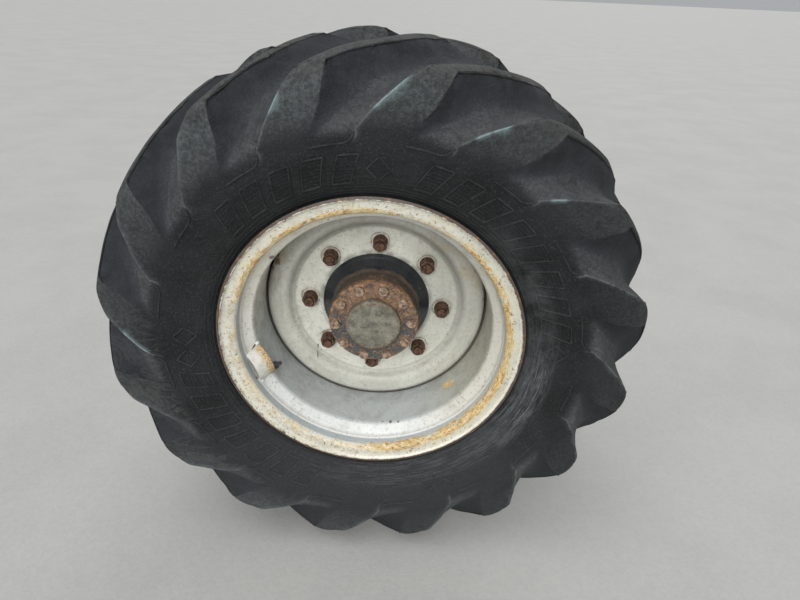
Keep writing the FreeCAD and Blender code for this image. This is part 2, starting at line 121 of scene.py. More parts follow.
# mesh pieces

def meshPiece(name, points, faces, slotName, material, smooth=True, sharp=None):
    # mesh object at the origin that turns with the wheel; edges that bend by more than the sharp angle,
    # in degrees, stay sharp
    mesh = bpy.data.meshes.new(name)
    corners = [face for group in faces for face in group.tolist()]
    mesh.from_pydata(points.reshape(-1, 3).tolist(), [], corners)
    mesh.polygons.foreach_set("use_smooth", [smooth] * len(mesh.polygons))
    mesh.update()
    if sharp:
        mesh.set_sharp_from_angle(angle=math.radians(sharp))
    piece = bpy.data.objects.new(name, mesh)
    bpy.context.scene.collection.objects.link(piece)
    mesh.materials.append(material)
    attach(piece, "wheel")
    return piece


def gridFaces(rows, cols, closeRows=False, closeCols=False):
    # quads of a grid of points in rows, joined round where it closes
    r = np.arange(rows if closeRows else rows - 1)
    c = np.arange(cols if closeCols else cols - 1)
    r, c = np.meshgrid(r, c, indexing="ij")
    r2, c2 = (r + 1) % rows, (c + 1) % cols
    return np.stack([r * cols + c, r * cols + c2, r2 * cols + c2, r2 * cols + c], -1).reshape(-1, 4)


def addShare(piece, name, values):
    # store one number for each point, for a material to read
    attribute = piece.data.attributes.new(name, "FLOAT", "POINT")
    attribute.data.foreach_set("value", np.asarray(values, np.float32).ravel())


def numbered(pattern, count):
    # names with the numbers from 1 up
    return [pattern % (k + 1) for k in range(count)]


# shader helpers

class Number:
    # a number or a vector in a material's nodes: +, - and * each add a Math node

    def __init__(self, shader, socket):
        self.shader, self.socket = shader, socket

    def __add__(self, other):
        return self.shader.math("ADD", self, other)

    def __sub__(self, other):
        return self.shader.math("SUBTRACT", self, other)

    def __rsub__(self, other):
        return self.shader.math("SUBTRACT", other, self)

    def __mul__(self, other):
        return self.shader.math("MULTIPLY", self, other)


class Shader:
    # one node material, built a node at a time; a colour can be a name in its dictionary of values

    def __init__(self, name, values=None):
        self.material = bpy.data.materials.new(name)
        self.material.use_nodes = True
        self.tree = self.material.node_tree
        self.values = values
        self.coords = self.node("TexCoord", output="Object")
        self.x, self.y, self.z = (self.node("SeparateXYZ", {0: self.coords}, axis) for axis in "XYZ")
        # distance from the axle, and clock angle in radians from -pi to pi
        self.r = self.math("SQRT", self.x * self.x + self.z * self.z)
        self.clock = self.math("ARCTAN2", self.x, self.z)

    def node(self, kind, inputs=(), output=0, **settings):
        node = self.tree.nodes.new("ShaderNode" + kind)
        for key, value in settings.items():
            setattr(node, key, value)
        for key, value in dict(inputs).items():
            self.feed(node.inputs[key], value)
        return Number(self, node.outputs[output])

    def feed(self, socket, value):
        if isinstance(value, str):
            value = self.values[value]
        if isinstance(value, Number):
            self.tree.links.new(value.socket, socket)
        elif socket.type == "RGBA":
            socket.default_value = (*value, 1)
        else:
            socket.default_value = value

    def math(self, operation, a, b=0, clamp=False):
        return self.node("Math", {0: a, 1: b}, operation=operation, use_clamp=clamp)

    def vector(self, operation, a, b, output=0):
        return self.node("VectorMath", {0: a, 1: b}, output, operation=operation)

    def most(self, a, b):
        return self.math("MAXIMUM", a, b)

    def noise(self, scale, detail=3, rough=0.55, distort=0, vector=None):
        return self.node("TexNoise", {"Vector": vector or self.coords, "Scale": scale, "Detail": detail,
                                      "Roughness": rough, "Distortion": distort})

    def band(self, value, low, high, toLow=0, toHigh=1):
        # from one share at the low value to another at the high value, smoothly
        return self.node("MapRange", {"Value": value, "From Min": low, "From Max": high,
                                      "To Min": toLow, "To Max": toHigh}, interpolation_type="SMOOTHSTEP")

    def grain(self, scale, detail, rough, low, high, toLow=0, toHigh=1):
        # patches of noise, cut off between low and high
        return self.band(self.noise(scale, detail, rough), low, high, toLow, toHigh)

    def side(self, angle, low, high, toLow=0, toHigh=1):
        # a share by direction: low and high are cosines of the angle from a clock angle in degrees
        away = self.math("COSINE", self.clock - math.radians(angle))
        return self.band(away, low, high, toLow, toHigh)

    def ridge(self, value, centre, width):
        # 1 at the centre, falling to 0 a width away on each side
        return self.band(self.math("ABSOLUTE", value - centre), 0, width, 1, 0)

    def stretched(self, scale):
        # Object coordinates with a scale of their own for each axis
        return self.node("Mapping", {"Vector": self.coords, "Scale": scale})

    def around(self, radial, turning, deep):
        # coordinates that follow the wheel: radius, clock angle and depth, each with its own scale
        return self.node("CombineXYZ", {0: self.r * radial, 1: self.clock * turning, 2: self.y * deep})

    def fromNearest(self, ring):
        # angle in radians from the nearest of a ring of nuts or bolts
        half = math.pi / ring["count"]
        turned = self.clock - math.radians(ring["firstAngle"])
        return self.node("Math", {0: turned, 1: half, 2: -half}, operation="WRAP")

    def near(self, angle, radius, along, reach):
        # 1 at a spot on the wheel, in millimetres and degrees, falling to 0 a reach away
        gap = self.vector("DISTANCE", self.coords, onWheel(angle, radius * mm, along * mm), "Value")
        return self.band(gap, 0, reach * mm, 1, 0)

    def spots(self, spots):
        # the most of several near() shares
        total = 0
        for spot in spots:
            total = self.most(total, self.near(*spot))
        return total

    def stroke(self, start, end, width):
        # 1 on the line between two spots given as in near(), falling to 0 at its width:
        # the spot's share along the line is held from 0 to 1, and the gap to that point is measured
        a, b = (onWheel(angle, radius * mm, along * mm) for angle, radius, along in (start, end))
        way = b - a
        fromStart = self.vector("SUBTRACT", self.coords, a)
        share = self.vector("DOT_PRODUCT", fromStart, way / way.dot(way), "Value")
        share = self.math("ADD", share, 0, clamp=True)
        spot = self.node("VectorMath", {0: way, "Scale": share}, operation="SCALE")
        gap = self.vector("DISTANCE", fromStart, spot, "Value")
        return self.band(gap, width * mm * 0.4, width * mm, 1, 0)

    def share(self, name):
        return self.node("Attribute", output="Fac", attribute_name=name)

    def mix(self, share, a, b):
        return self.node("Mix", {0: share, 6: a, 7: b}, output=2, data_type="RGBA")

    def lay(self, color, share):
        # a layer of colour over the colour so far
        self.color = self.mix(share, self.color, color)

    def finish(self, rough, height, distance, strength, **others):
        # the colour so far, a roughness and a bump from a height go to the surface
        bump = self.node("Bump", {"Height": height, "Distance": distance, "Strength": strength})
        surface = self.tree.nodes["Principled BSDF"]
        for key, value in dict(others, Base_Color=self.color, Roughness=rough, Normal=bump).items():
            self.feed(surface.inputs[key.replace("_", " ")], value)
        return self.material


# camera, light and floor

cameraValues = dict(
    position=(0.0575, -1.3180, 0.5906),
    forward=(-0.0063, 0.8812, -0.4726),
    right=(0.9988, 0.0288, 0.0403),
    lens=26.55,
    sensor=36,
)
stageValues = dict(
    floorHeight=-0.526,
    floorSize=160,
    floorColor=(0.455, 0.45, 0.43),
    floorDark=(0.405, 0.40, 0.385),
    worldColor=(0.94, 0.97, 1),
    worldStrength=0.42,
    # name, width in degrees, strength, and the place that each lamp shines from
    lamps=[("skyLamp", 46, 1.15, (-0.5, -1.3, 3)),
           ("frontLamp", 28, 2, (-0.5, -4, 2.1)),
           ("backLamp", 40, 0.8, (1.2, 3.6, 1.6))],
)


def makeCamera():
    v = cameraValues
    forward = Vector(v["forward"]).normalized()
    right = Vector(v["right"])
    right = (right - forward * right.dot(forward)).normalized()
    up = right.cross(forward)
    data = bpy.data.cameras.new("camera")
    data.lens = v["lens"]
    data.sensor_width = v["sensor"]
    data.clip_end = 400
    camera = bpy.data.objects.new("camera", data)
    turn = Matrix((right, up, -forward)).transposed().to_4x4()
    camera.matrix_world = Matrix.Translation(v["position"]) @ turn
    bpy.context.scene.collection.objects.link(camera)
    bpy.context.scene.camera = camera
    print("camera placed")


def makeStage():
    v = stageValues
    half = v["floorSize"] / 2
    z = v["floorHeight"]
    mesh = bpy.data.meshes.new("floor")
    corners = [(-half, -half, z), (half, -half, z), (half, half, z), (-half, half, z)]
    mesh.from_pydata(corners, [], [(0, 1, 2, 3)])
    floor = bpy.data.objects.new("floor", mesh)
    bpy.context.scene.collection.objects.link(floor)
    paint = Shader("floorPaint", v)
    mottled = paint.grain(2.2, 6, 0.7, 0.35, 0.68)
    grains = paint.grain(90, 4, 0.75, 0.38, 0.66, 0, 0.5)
    paint.color = paint.mix(paint.math("ADD", mottled * 0.6, grains, clamp=True), "floorColor", "floorDark")
    mesh.materials.append(paint.finish(0.9, paint.noise(120, 4, 0.7), 0.002, 0.4))

    world = bpy.data.worlds.new("sky")
    bpy.context.scene.world = world
    world.use_nodes = True
    background = world.node_tree.nodes["Background"]
    background.inputs[0].default_value = (*v["worldColor"], 1)
    background.inputs[1].default_value = v["worldStrength"]

    for name, width, strength, place in v["lamps"]:
        lamp = bpy.data.lights.new(name, "SUN")
        lamp.angle = math.radians(width)
        lamp.energy = strength
        holder = bpy.data.objects.new(name, lamp)
        aim = Vector((0, rimCentre, 0)) - Vector(place)
        holder.matrix_world = Matrix.Translation(place) @ aim.to_track_quat("-Z", "Y").to_matrix().to_4x4()
        bpy.context.scene.collection.objects.link(holder)
    bpy.context.scene.view_settings.view_transform = "Standard"
    print("stage lit")


# tyre

tyreValues = dict(
    lugCount=16,
    firstAngle=-6,          # clock angle of an outboard lug's foot
    fullRadius=525.5,
    shoulderRadius=494,
    shoulderHalf=189,
    grooveCentre=502,
    grooveEdge=457,
    grooveEdgeHalf=158,
    noseHalf=18,
    noseRun=6,              # how far the nose's face leans
    columns=(9, 8, 11),     # grid columns over a lug's top, its trailing wall and the slope to the next
    rowsSide=(30, 14),      # outboard and inboard side wall
    rowsShoulder=(36, 30),
    rowsCrown=(26, 22),
    rowsNose=8,
    rowsInside=14,
    crestProud=1.5,         # the thin ridge on the leading edge
    crestWidth=3,
    faceHollow=3.5,         # dip of the face behind the crest
    edgeWear=4,             # rounding of the worn edges on the crown
    chipDepth=4,
    lumps=0.9,
)
# half width and radius of the casing's side, from the rim's lip to the bulge
sideLine = [(164.8, 277.2), (168, 285.5), (174.5, 292.5), (181.5, 301), (188, 314),
            (193.8, 330), (198.4, 347), (202.2, 366), (204.2, 384), (204.6, 398)]
# groove floor and lug face, from the bulge to the shoulder
shoulderFloor = [(204.6, 398), (201, 408.5), (193.5, 418), (184.5, 428), (176, 437.5),
                 (168.5, 446.5), (163, 452.5), (157, 457.5)]
shoulderTop = [(204.6, 398), (204.8, 414), (203.4, 430), (200.6, 450), (196.8, 470),
               (192.4, 484.5), (187.6, 491.6), (181, 496)]
# inside of the casing, from the inboard bead over the crown to the outboard one
insideHalf = [(137.8, 255.6), (146, 286), (172, 325), (185, 375), (176, 410),
              (142, 446), (90, 464)]
insideLine = insideHalf + [(0, 476)] + [(-half, radius) for half, radius in insideHalf[::-1]]
# lug edges: radius on the side or half width on the crown, then degrees after the foot
crestOnSide = [(398, 2.2), (428, 6), (450, 9), (472, 11.6), (496, 14.4)]
trailOnSide = [(398, 14.4), (415, 16), (440, 18), (470, 19.2), (496, 20.3)]
crestOnCrown = [(12, 36.4), (50, 32.4), (77, 30), (104, 26.9), (181, 14.4)]
trailOnCrown = [(12, 40.9), (50, 36.9), (77, 34.8), (104, 31.9), (181, 20.3)]
# where the valley's lowest line lies between two lugs, and how the slope to the next crest hollows
valleyOnSide = [(398, 0.24), (430, 0.30), (465, 0.40), (496, 0.45)]
hollowOnSide = [(398, 1.3), (430, 1.5), (465, 2.1), (496, 2.4)]


def crownRadius(half, low, edge, centre):
    # radius at a half width, on the arc that climbs from a low edge to the centre
    rise = centre - low
    arc = (rise ** 2 + edge ** 2) / (2 * rise)
    return centre - arc + np.sqrt(arc ** 2 - np.square(half))


def lookUp(table, x):
    table = np.array(table)
    return np.interp(x, table[:, 0], table[:, 1])


def crownRow(floorHalf, topHalf, height, across):
    v = tyreValues
    floorR = crownRadius(floorHalf, v["grooveEdge"], v["grooveEdgeHalf"], v["grooveCentre"])
    topR = crownRadius(topHalf, v["shoulderRadius"], v["shoulderHalf"], v["fullRadius"])
    valley = lookUp(valleyOnSide, 496) + 0.05 * across
    return (floorHalf, floorR, topHalf, topR, lookUp(crestOnCrown, topHalf), lookUp(trailOnCrown, topHalf),
            height, 1, across, valley, 2.4)


def tyreHalf(side):
    # rows of one half from the bead to the centre: floor and top points, edges in degrees, height,
    # how far the columns follow the lugs, place across the crown, the valley and its hollow
    v = tyreValues
    rows = []
    for s, r in throughPoints(sideLine, v["rowsSide"][side])[:-1]:
        follow = smoothStep(r, 352, 392)
        rows.append((s, r, s, r, lookUp(crestOnSide, r), lookUp(trailOnSide, r), 0, follow, 0,
                     lookUp(valleyOnSide, r), 1.3))
    count = v["rowsShoulder"][side]
    floor = throughPoints(shoulderFloor, count)
    top = throughPoints(shoulderTop, count)
    for (fs, fr), (ts, tr) in zip(floor[:-1], top[:-1]):
        rows.append((fs, fr, ts, tr, lookUp(crestOnSide, tr), lookUp(trailOnSide, tr), 1, 1, 0,
                     lookUp(valleyOnSide, tr), lookUp(hollowOnSide, tr)))
    noseEnd = v["noseHalf"] - v["noseRun"]
    crown = np.linspace(1, 0, v["rowsCrown"][side], endpoint=False)
    nose = np.linspace(1, 0, v["rowsNose"])
    floorEdge, topEdge = floor[-1, 0], top[-1, 0]
    near = v["noseHalf"] + 6
    for c in crown:
        rows.append(crownRow(near + (floorEdge - near) * c, near + (topEdge - near) * c, 1, 1 - c))
    for c in nose:
        s = noseEnd + (near - noseEnd) * c
        rows.append(crownRow(s, s, float(smoothStep(s, noseEnd, v["noseHalf"])), 1))
    return rows


def tyreColumns():
    # place of each column in a pitch: 0-1 over the lug's top, 1-2 down its wall, 2-3 up to the next
    topCount, wallCount, slopeCount = tyreValues["columns"]
    over = 0.5 - 0.5 * np.cos(np.pi * np.linspace(0, 1, topCount, endpoint=False))
    down = 1 + np.linspace(0, 1, wallCount, endpoint=False) ** 1.4
    up = 2 + 1 - (1 - np.linspace(0, 1, slopeCount, endpoint=False)) ** 1.6
    return np.concatenate([over, down, up])


def tyreSurface(rows, side):
    # points and shares of one half: the floor, plus the way to the top times the section's height
    v = tyreValues
    pitch = 360 / v["lugCount"]
    fs, fr, ts, tr, crest, trail, height, follow, across, valley, hollow = (
        np.array(c, float)[:, None] for c in zip(*rows))
    place = tyreColumns()
    columns = len(place)
    u = np.tile(place, v["lugCount"])[None, :] + 0 * crest
    lug = np.repeat(np.arange(v["lugCount"]), columns)[None, :]
    even = (np.arange(columns * v["lugCount"]) / columns * pitch)[None, :]
    low = trail + valley * (crest + pitch - trail)
    onTop = crest + (trail - crest) * np.clip(u, 0, 1)
    onWall = trail + (low - trail) * np.clip(u - 1, 0, 1)
    onSlope = low + (crest + pitch - low) * np.clip(u - 2, 0, 1)
    angle = np.where(u < 1, onTop, np.where(u < 2, onWall, onSlope)) + lug * pitch
    # the columns lie evenly on the side wall, and lean with the lugs from the foot up
    angle = even + (angle - even) * follow
    # the section: flat top, hollow trailing wall, then a hollow slope up to the next crest
    wall = np.clip(2 - u, 0, 1) ** 2
    slope = np.clip(u - 2, 0, 1) ** hollow
    share = np.where(u < 1, 1, np.where(u < 2, wall, slope)) * height
    way = 1 if side else -1
    spotFloor = onWheel(angle, fr, rimCentre / mm + way * fs)
    spotTop = onWheel(angle, tr, rimCentre / mm + way * ts)
    points = spotFloor + (spotTop - spotFloor) * share[..., None]
    normal = gridNormals(points) * way

    def above(low, high):
        # share that grows from 0 to 1 between two radii
        return smoothStep(tr, low, high)

    # relief along the normal: crest ridge, hollow face, worn and chipped edges, lumps
    arcOf = tr / 57.3       # millimetres in a degree of arc
    width, far = (trail - crest) * arcOf, 99
    fromCrest = np.where(u < 1, u * width, np.where(u > 2, (3 - u) * (crest + pitch - low) * arcOf, far))
    fromTrail = np.where(u < 1, (1 - u) * width, np.where(u < 2, (u - 1) * (low - trail) * arcOf, far))
    onShoulder = above(376, 396) * (1 - smoothStep(across, 0, 0.15))
    onCrown = above(470, 494) * np.clip(height, 0, 1)
    ridge = v["crestProud"] * hump(fromCrest, 0, v["crestWidth"]) * onShoulder * (1 - onCrown)
    faceShape = np.sin(np.pi * np.clip(u, 0, 1)) * (u < 1)
    dip = v["faceHollow"] * faceShape * above(402, 450) * (1 - onCrown)
    edge = np.maximum(hump(fromCrest, 0, 10), hump(fromTrail, 0, 11))
    wear = v["edgeWear"] * edge * onCrown
    metres = points * mm
    chips = np.clip(latticeNoise(metres, 42, 3 + side) - 0.35, 0, 1) * edge * onCrown * v["chipDepth"]
    lumps = v["lumps"] * roughNoise(metres, 16, 11 + side) * above(365, 400)
    points = points + normal * (ridge - dip - wear - chips + lumps)[..., None]

    # shares for the rubber: dust on the slopes, scuffs and a painted highlight by the crest, worn tops,
    # painted shade on the deep walls
    crestLine = hump(fromCrest, 0, 2.2) * onShoulder
    scuff = (0.9 * hump(fromCrest, 0, 2.6) + 0.7 * hump(fromCrest, 8, 8) * (u < 1)) * onShoulder
    scuff = scuff * above(415, 450) * (1 - 0.7 * above(484, 494))
    face = (u < 1) * above(392, 425) * (0.55 + 0.45 * above(400, 470))
    dust = smoothStep(u, 1.6, 2.9) * above(385, 405) * (1 - 0.5 * across)
    worn = (u < 1) * onCrown * (0.45 + 0.55 * edge)
    slope = smoothStep(u, 1.25, 1.95) * above(385, 410) * (1 - 0.35 * across)
    deep = np.where((u > 1) & (u < 2), smoothStep(u, 1, 1.12), 0) * height
    shares = dict(scuff=scuff, crest=crestLine, face=face, slope=slope, dust=dust, worn=worn, deep=deep)
    return points, shares, angle


def makeTyre(rubber):
    # the whole tyre as one closed surface, from bead to bead outside and back inside
    v = tyreValues
    pitch = 360 / v["lugCount"]
    columns = len(tyreColumns()) * v["lugCount"]
    halves = []
    for side in (0, 1):
        points, shares, angle = tyreSurface(tyreHalf(side), side)
        shift = 0 if side == 0 else pitch / 2
        turn = math.radians(v["firstAngle"] + shift)
        c, s = math.cos(turn), math.sin(turn)
        x, z = points[..., 0].copy(), points[..., 2].copy()
        points[..., 0], points[..., 2] = c * x + s * z, c * z - s * x
        halves.append(dict(shares, points=points, angle=angle + shift))
    # pair each outboard column at the centre with the inboard column nearest in angle
    gap = halves[1]["angle"][-1] - halves[0]["angle"][-1][0]
    roll = int(np.argmin(np.abs((gap + 180) % 360 - 180)))
    for key in halves[1]:
        halves[1][key] = np.roll(halves[1][key], -roll, axis=1)
    inside = throughPoints(insideLine, v["rowsInside"])
    first = halves[0]["points"][0]
    around = np.degrees(np.arctan2(first[:, 0], first[:, 2]))
    liner = onWheel(around[None, :], inside[:, 1:], rimCentre / mm + inside[:, :1])
    points = np.concatenate([halves[0]["points"], halves[1]["points"][::-1], liner]) * mm
    faces = gridFaces(len(points), columns, closeRows=True, closeCols=True)
    tyre = meshPiece("tyreCasing", points, [faces], "tyre_rubber", rubber)
    blank = np.zeros((len(inside), columns))
    for name in ("scuff", "crest", "face", "slope", "dust", "worn", "deep"):
        addShare(tyre, name, np.concatenate([halves[0][name], halves[1][name][::-1], blank]))
    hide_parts("tyre")
    print("tyre made,", len(faces) * 2, "triangles")


# moulded lines of the side wall: thin rings, a line under each lug, and hatched bars that name nothing

mouldValues = dict(
    height=2.3,
    sink=1.5,
    width=2.4,
    rubbed=0.20,            # how pale the tops are
    ringRadii=(291, 297, 303.5),
    ringHeight=0.7,
    lineWidth=2.6,
    lineRadius=378,
    lineBefore=9,           # degrees before a lug's foot
    barLow=312,
    barHigh=360,
    barDegrees=5.4,
    barLean=3.2,
    barStep=9,
    hatchCount=7,
    groups=[(-48, 5), (12, 8), (197, 7)],  # first clock angle and number of bars
    lozenges=[1.5, 88, 150, 158, 264, 272],
    lozengeHalf=(3.2, 20),  # degrees and millimetres
)


def wallHalf(radius):
    # half width of the side wall at a radius
    table = np.array(sideLine)
    return np.interp(radius, table[:, 1], table[:, 0])


def ridgeStrip(path, width, height, sink, way):
    # closed bar of trapezoid section along a path of clock angles and radii on the side wall
    path = np.array(path, float)
    angle, radius = path[:, 0], path[:, 1]
    half = wallHalf(radius)
    middle = onWheel(angle, radius, rimCentre / mm + way * half)
    lean = (wallHalf(radius + 2) - wallHalf(radius - 2)) / 4
    out = onWheel(angle, -lean, 0) + np.array([0, way, 0])
    out /= np.linalg.norm(out, axis=1, keepdims=True)
    run = np.gradient(middle, axis=0)
    across = np.cross(run, out)
    across /= np.linalg.norm(across, axis=1, keepdims=True)
    foot, top = across * width * 0.75, across * width * 0.36
    ring = [middle - foot - out * sink, middle - top + out * height,
            middle + top + out * height, middle + foot - out * sink]
    faces = gridFaces(len(path), 4, closeCols=True)
    last = (len(path) - 1) * 4
    ends = np.array([[0, 1, 2, 3], [last + 3, last + 2, last + 1, last]])
    return np.stack(ring, 1).reshape(-1, 3), np.concatenate([faces, ends])


def arc(start, end, radius):
    # even spots at one radius, about every 1.5 degrees
    count = max(3, int(abs(end - start) / 1.5) + 1)
    return [(a, radius) for a in np.linspace(start, end, count)]


def mouldPaths():
    # paths of clock angle and radius, each with its width, its height and how pale its top is
    v = mouldValues
    wide, tall = v["lozengeHalf"]
    low, high, rub = v["barLow"], v["barHigh"], v["rubbed"]
    paths = [(arc(0, 360.4, r), v["width"], v["ringHeight"], rub * 0.4) for r in v["ringRadii"]]
    rise = np.linspace(0, 1, 6)
    for first, count in v["groups"]:
        for start in first + v["barStep"] * np.arange(count):
            for side in (0, v["barDegrees"]):
                edge = np.stack([start + side + v["barLean"] * rise, low + (high - low) * rise], 1)
                paths.append((edge, v["width"], v["height"], rub))
            for f in np.linspace(0, 1, v["hatchCount"] + 2):
                left = start + v["barLean"] * f
                size = 1 if f in (0, 1) else 0.5
                hatch = arc(left, left + v["barDegrees"], low + (high - low) * f)
                paths.append((hatch, v["width"] * size, v["height"] * size, rub * size))
    middle = (low + high) / 2
    for spot in v["lozenges"]:
        corners = [(spot - wide, middle), (spot, middle + tall), (spot + wide, middle), (spot, middle - tall)]
        for (a, r), (b, q) in zip(corners, corners[1:] + corners[:1]):
            side = np.stack([np.linspace(a, b, 4), np.linspace(r, q, 4)], 1)
            paths.append((side, v["width"], v["height"], rub))
    return paths


def makeMoulding(rubber):
    v = mouldValues
    t = tyreValues
    pitch = 360 / t["lugCount"]
    for side, name in ((0, "outerMoulding"), (1, "innerMoulding")):
        way = 1 if side else -1
        paths = mouldPaths()
        for k in range(t["lugCount"]):
            foot = t["firstAngle"] + (k + 0.5 * side) * pitch
            line = arc(foot - v["lineBefore"], foot - 0.8, v["lineRadius"])
            line += [(foot + 0.4, v["lineRadius"] + 3), (foot + 1.2, v["lineRadius"] + 9),
                     (foot + 2, v["lineRadius"] + 17)]
            paths.append((line, v["lineWidth"], v["height"], v["rubbed"]))
        points, faces, pale, start = [], [], [], 0
        for path, width, height, rubbed in paths:
            spots, quads = ridgeStrip(path, width, height, v["sink"], way)
            points.append(spots)
            faces.append(quads + start)
            # each ring of four points has its two top points in the middle
            pale.append(np.tile([0, rubbed, rubbed, 0], len(spots) // 4))
            start += len(spots)
        points, faces = np.concatenate(points) * mm, np.concatenate(faces)
        moulding = meshPiece(name, points, [faces], "tyre_rubber", rubber, smooth=False)
        addShare(moulding, "crest", np.concatenate(pale))
    print("side walls moulded")


# turned pieces with cast or rusted skins

def turnedRows(profile, step):
    # spots of (along, radius) no more than a step apart, in millimetres
    rows = [profile[0]]
    for a, b in zip(profile, profile[1:]):
        count = max(1, int(math.ceil(math.dist(a, b) / step)))
        rows += [(a[0] + (b[0] - a[0]) * k / count, a[1] + (b[1] - a[1]) * k / count)
                 for k in range(1, count + 1)]
    return np.array(rows)


def hexLimit(acrossFlats, angle):
    # radius of a hexagon's side at an angle from one of its corners
    within = (np.degrees(angle) % 60) - 30
    return acrossFlats / 2 / np.cos(np.radians(within))


def turnedSkin(profile, columns, step, rough, grain, seed, centre=(0, 0), turn=0, acrossFlats=None,
               flats=None, hollow=False):
    # closed skin of a profile turned about an axis at a place on the wheel, with noise along its normals;
    # a hexagon cuts it between two places along the axis
    rows = turnedRows(profile, step)
    angle = np.radians(turn) + np.linspace(0, 2 * math.pi, columns, endpoint=False)[None, :]
    along, radius = rows[:, :1], rows[:, 1:] + 0 * angle
    if acrossFlats:
        low, high = flats
        inside = (along <= low + 1e-6) & (along >= high - 1e-6) & (rows[:, 1:] > acrossFlats * 0.45)
        radius = np.where(inside, np.minimum(radius, hexLimit(acrossFlats, angle - np.radians(turn))), radius)
    x0, z0 = centre
    points = np.stack([x0 + radius * np.sin(angle), along + 0 * angle, z0 + radius * np.cos(angle)], -1)
    pits = roughNoise(points * mm, grain, seed)
    deep = np.clip(latticeNoise(points * mm, grain * 0.7, seed + 7) - 0.35, 0, 1) * 2
    points = points + gridNormals(points) * (rough * (pits * 0.5 - deep))[..., None]
    faces = [gridFaces(len(rows), columns, closeRows=hollow, closeCols=True)]
    points = points.reshape(-1, 3)
    if not hollow:
        ring = np.arange(columns)
        beyond = np.roll(ring, -1)
        last = (len(rows) - 1) * columns
        total = len(points)
        points = np.vstack([points, [x0, rows[0, 0], z0], [x0, rows[-1, 0], z0]])
        faces.append(np.stack([beyond, ring, ring * 0 + total], -1))
        faces.append(np.stack([last + ring, last + beyond, ring * 0 + total + 1], -1))
    return points, faces


def joinSkins(skins):
    points, faces, start = [], [], 0
    for spots, groups in skins:
        points.append(spots)
        faces += [group + start for group in groups]
        start += len(spots)
    return np.concatenate(points) * mm, faces


def ringOfSkins(v, profile, flats, hollow=False):
    # a hexagonal skin at each place of a ring of nuts or bolts
    skins = []
    for k in range(v["count"]):
        angle = v["firstAngle"] + k * 360 / v["count"]
        x0, _, z0 = onWheel(angle, v["circle"], 0)
        skins.append(turnedSkin(profile, **v["skin"], seed=v["firstSeed"] + k, centre=(x0, z0), turn=angle,
                                acrossFlats=v["acrossFlats"], flats=flats, hollow=hollow))
    return joinSkins(skins)


# wheel nuts and cover bolts

nutValues = dict(
    count=8,
    firstAngle=-42.65,
    circle=137.5,
    acrossFlats=27,
    seat=15,
    seatHeight=3,
    height=22,
    bore=9.1,
    chamfer=2.6,
    skin=dict(columns=72, step=1.1, rough=0.35, grain=220),
    firstSeed=31,
)
boltValues = dict(
    count=10,
    firstAngle=193.9,
    circle=75,
    acrossFlats=18,
    height=7.5,
    sink=1.5,               # how far a head stands in the cover
    chamfer=1.4,
    skin=dict(columns=60, step=0.9, rough=0.35, grain=260),
    firstSeed=61,
)
hexSharp = 40               # edges that bend by more degrees stay sharp


def makeNuts(rust):
    v = nutValues
    foot, seatTop, top = discFace + 0.3, discFace - v["seatHeight"], discFace - v["height"]
    corner = v["acrossFlats"] / 2 / math.cos(math.pi / 6)
    profile = [(foot, v["bore"]), (foot, v["seat"]), (seatTop + 0.8, v["seat"]), (seatTop, v["seat"] - 0.8),
               (seatTop, corner), (top + v["chamfer"], corner), (top, corner - v["chamfer"]),
               (top, v["bore"] + 1.2), (top + 1.4, v["bore"])]
    points, faces = ringOfSkins(v, profile, (seatTop, top), hollow=True)
    nuts = meshPiece("wheelNuts", points, faces, "rusty_steel", rust, sharp=hexSharp)
    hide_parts(*numbered("wheel_nut_%d", v["count"]))
    print("wheel nuts made")


def makeBolts(rust, front):
    v = boltValues
    foot, top = front + v["sink"], front - v["height"]
    corner = v["acrossFlats"] / 2 / math.cos(math.pi / 6)
    profile = [(foot, corner), (top + v["chamfer"], corner), (top, corner - v["chamfer"]), (top, 3)]
    points, faces = ringOfSkins(v, profile, (foot, top))
    bolts = meshPiece("coverBolts", points, faces, "rusty_bolt", rust, sharp=hexSharp)
    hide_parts(*numbered("cover_bolt_%02d", v["count"]))
    print("cover bolts made")


# hub cover and its cap

coverValues = dict(
    radius=88,
    grooveRadius=86,
    noseRadius=87.5,
    rim=14,
    edge=3,
    skin=dict(columns=240, step=2, rough=0.9, grain=90, seed=5),
    capRadius=54,
    capEdge=3,
    plugRadius=9,
    plugDepth=1.2,
    capSkin=dict(columns=200, step=1.6, rough=0.35, grain=170, seed=9),
    sharp=50,               # edges that bend by more degrees stay sharp
)


def makeCover(castIron, wornCap):
    v = coverValues
    back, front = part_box("hub_cover")[1][1] / mm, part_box("hub_cover")[0][1] / mm
    e, radius = v["edge"], v["radius"]
    profile = [(back, v["noseRadius"]), (back - e, v["grooveRadius"]),
               (front + v["rim"] + e, v["grooveRadius"]), (front + v["rim"], radius),
               (front + e * 1.2, radius), (front + e * 0.5, radius - e * 0.3),
               (front + e * 0.12, radius - e * 0.8), (front, radius - e * 1.5), (front, 12)]
    skin = joinSkins([turnedSkin(profile, **v["skin"])])
    cover = meshPiece("hubCover", *skin, "rusty_casting", castIron, sharp=v["sharp"])
    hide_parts("hub_cover")

    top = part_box("cover_cap")[0][1] / mm
    e, radius, plug = v["capEdge"], v["capRadius"], v["plugRadius"]
    profile = [(front + 0.8, radius), (top + e * 1.2, radius), (top + e * 0.5, radius - e * 0.35),
               (top + e * 0.12, radius - e * 0.85), (top, radius - e * 1.5), (top, plug + 1),
               (top + 0.9, plug), (top + v["plugDepth"], plug - 0.6), (top + v["plugDepth"], 2)]
    skin = joinSkins([turnedSkin(profile, **v["capSkin"])])
    cap = meshPiece("coverCap", *skin, "worn_cap", wornCap, sharp=v["sharp"])
    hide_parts("cover_cap")
    print("hub cover and cap made")
    return front


# welds

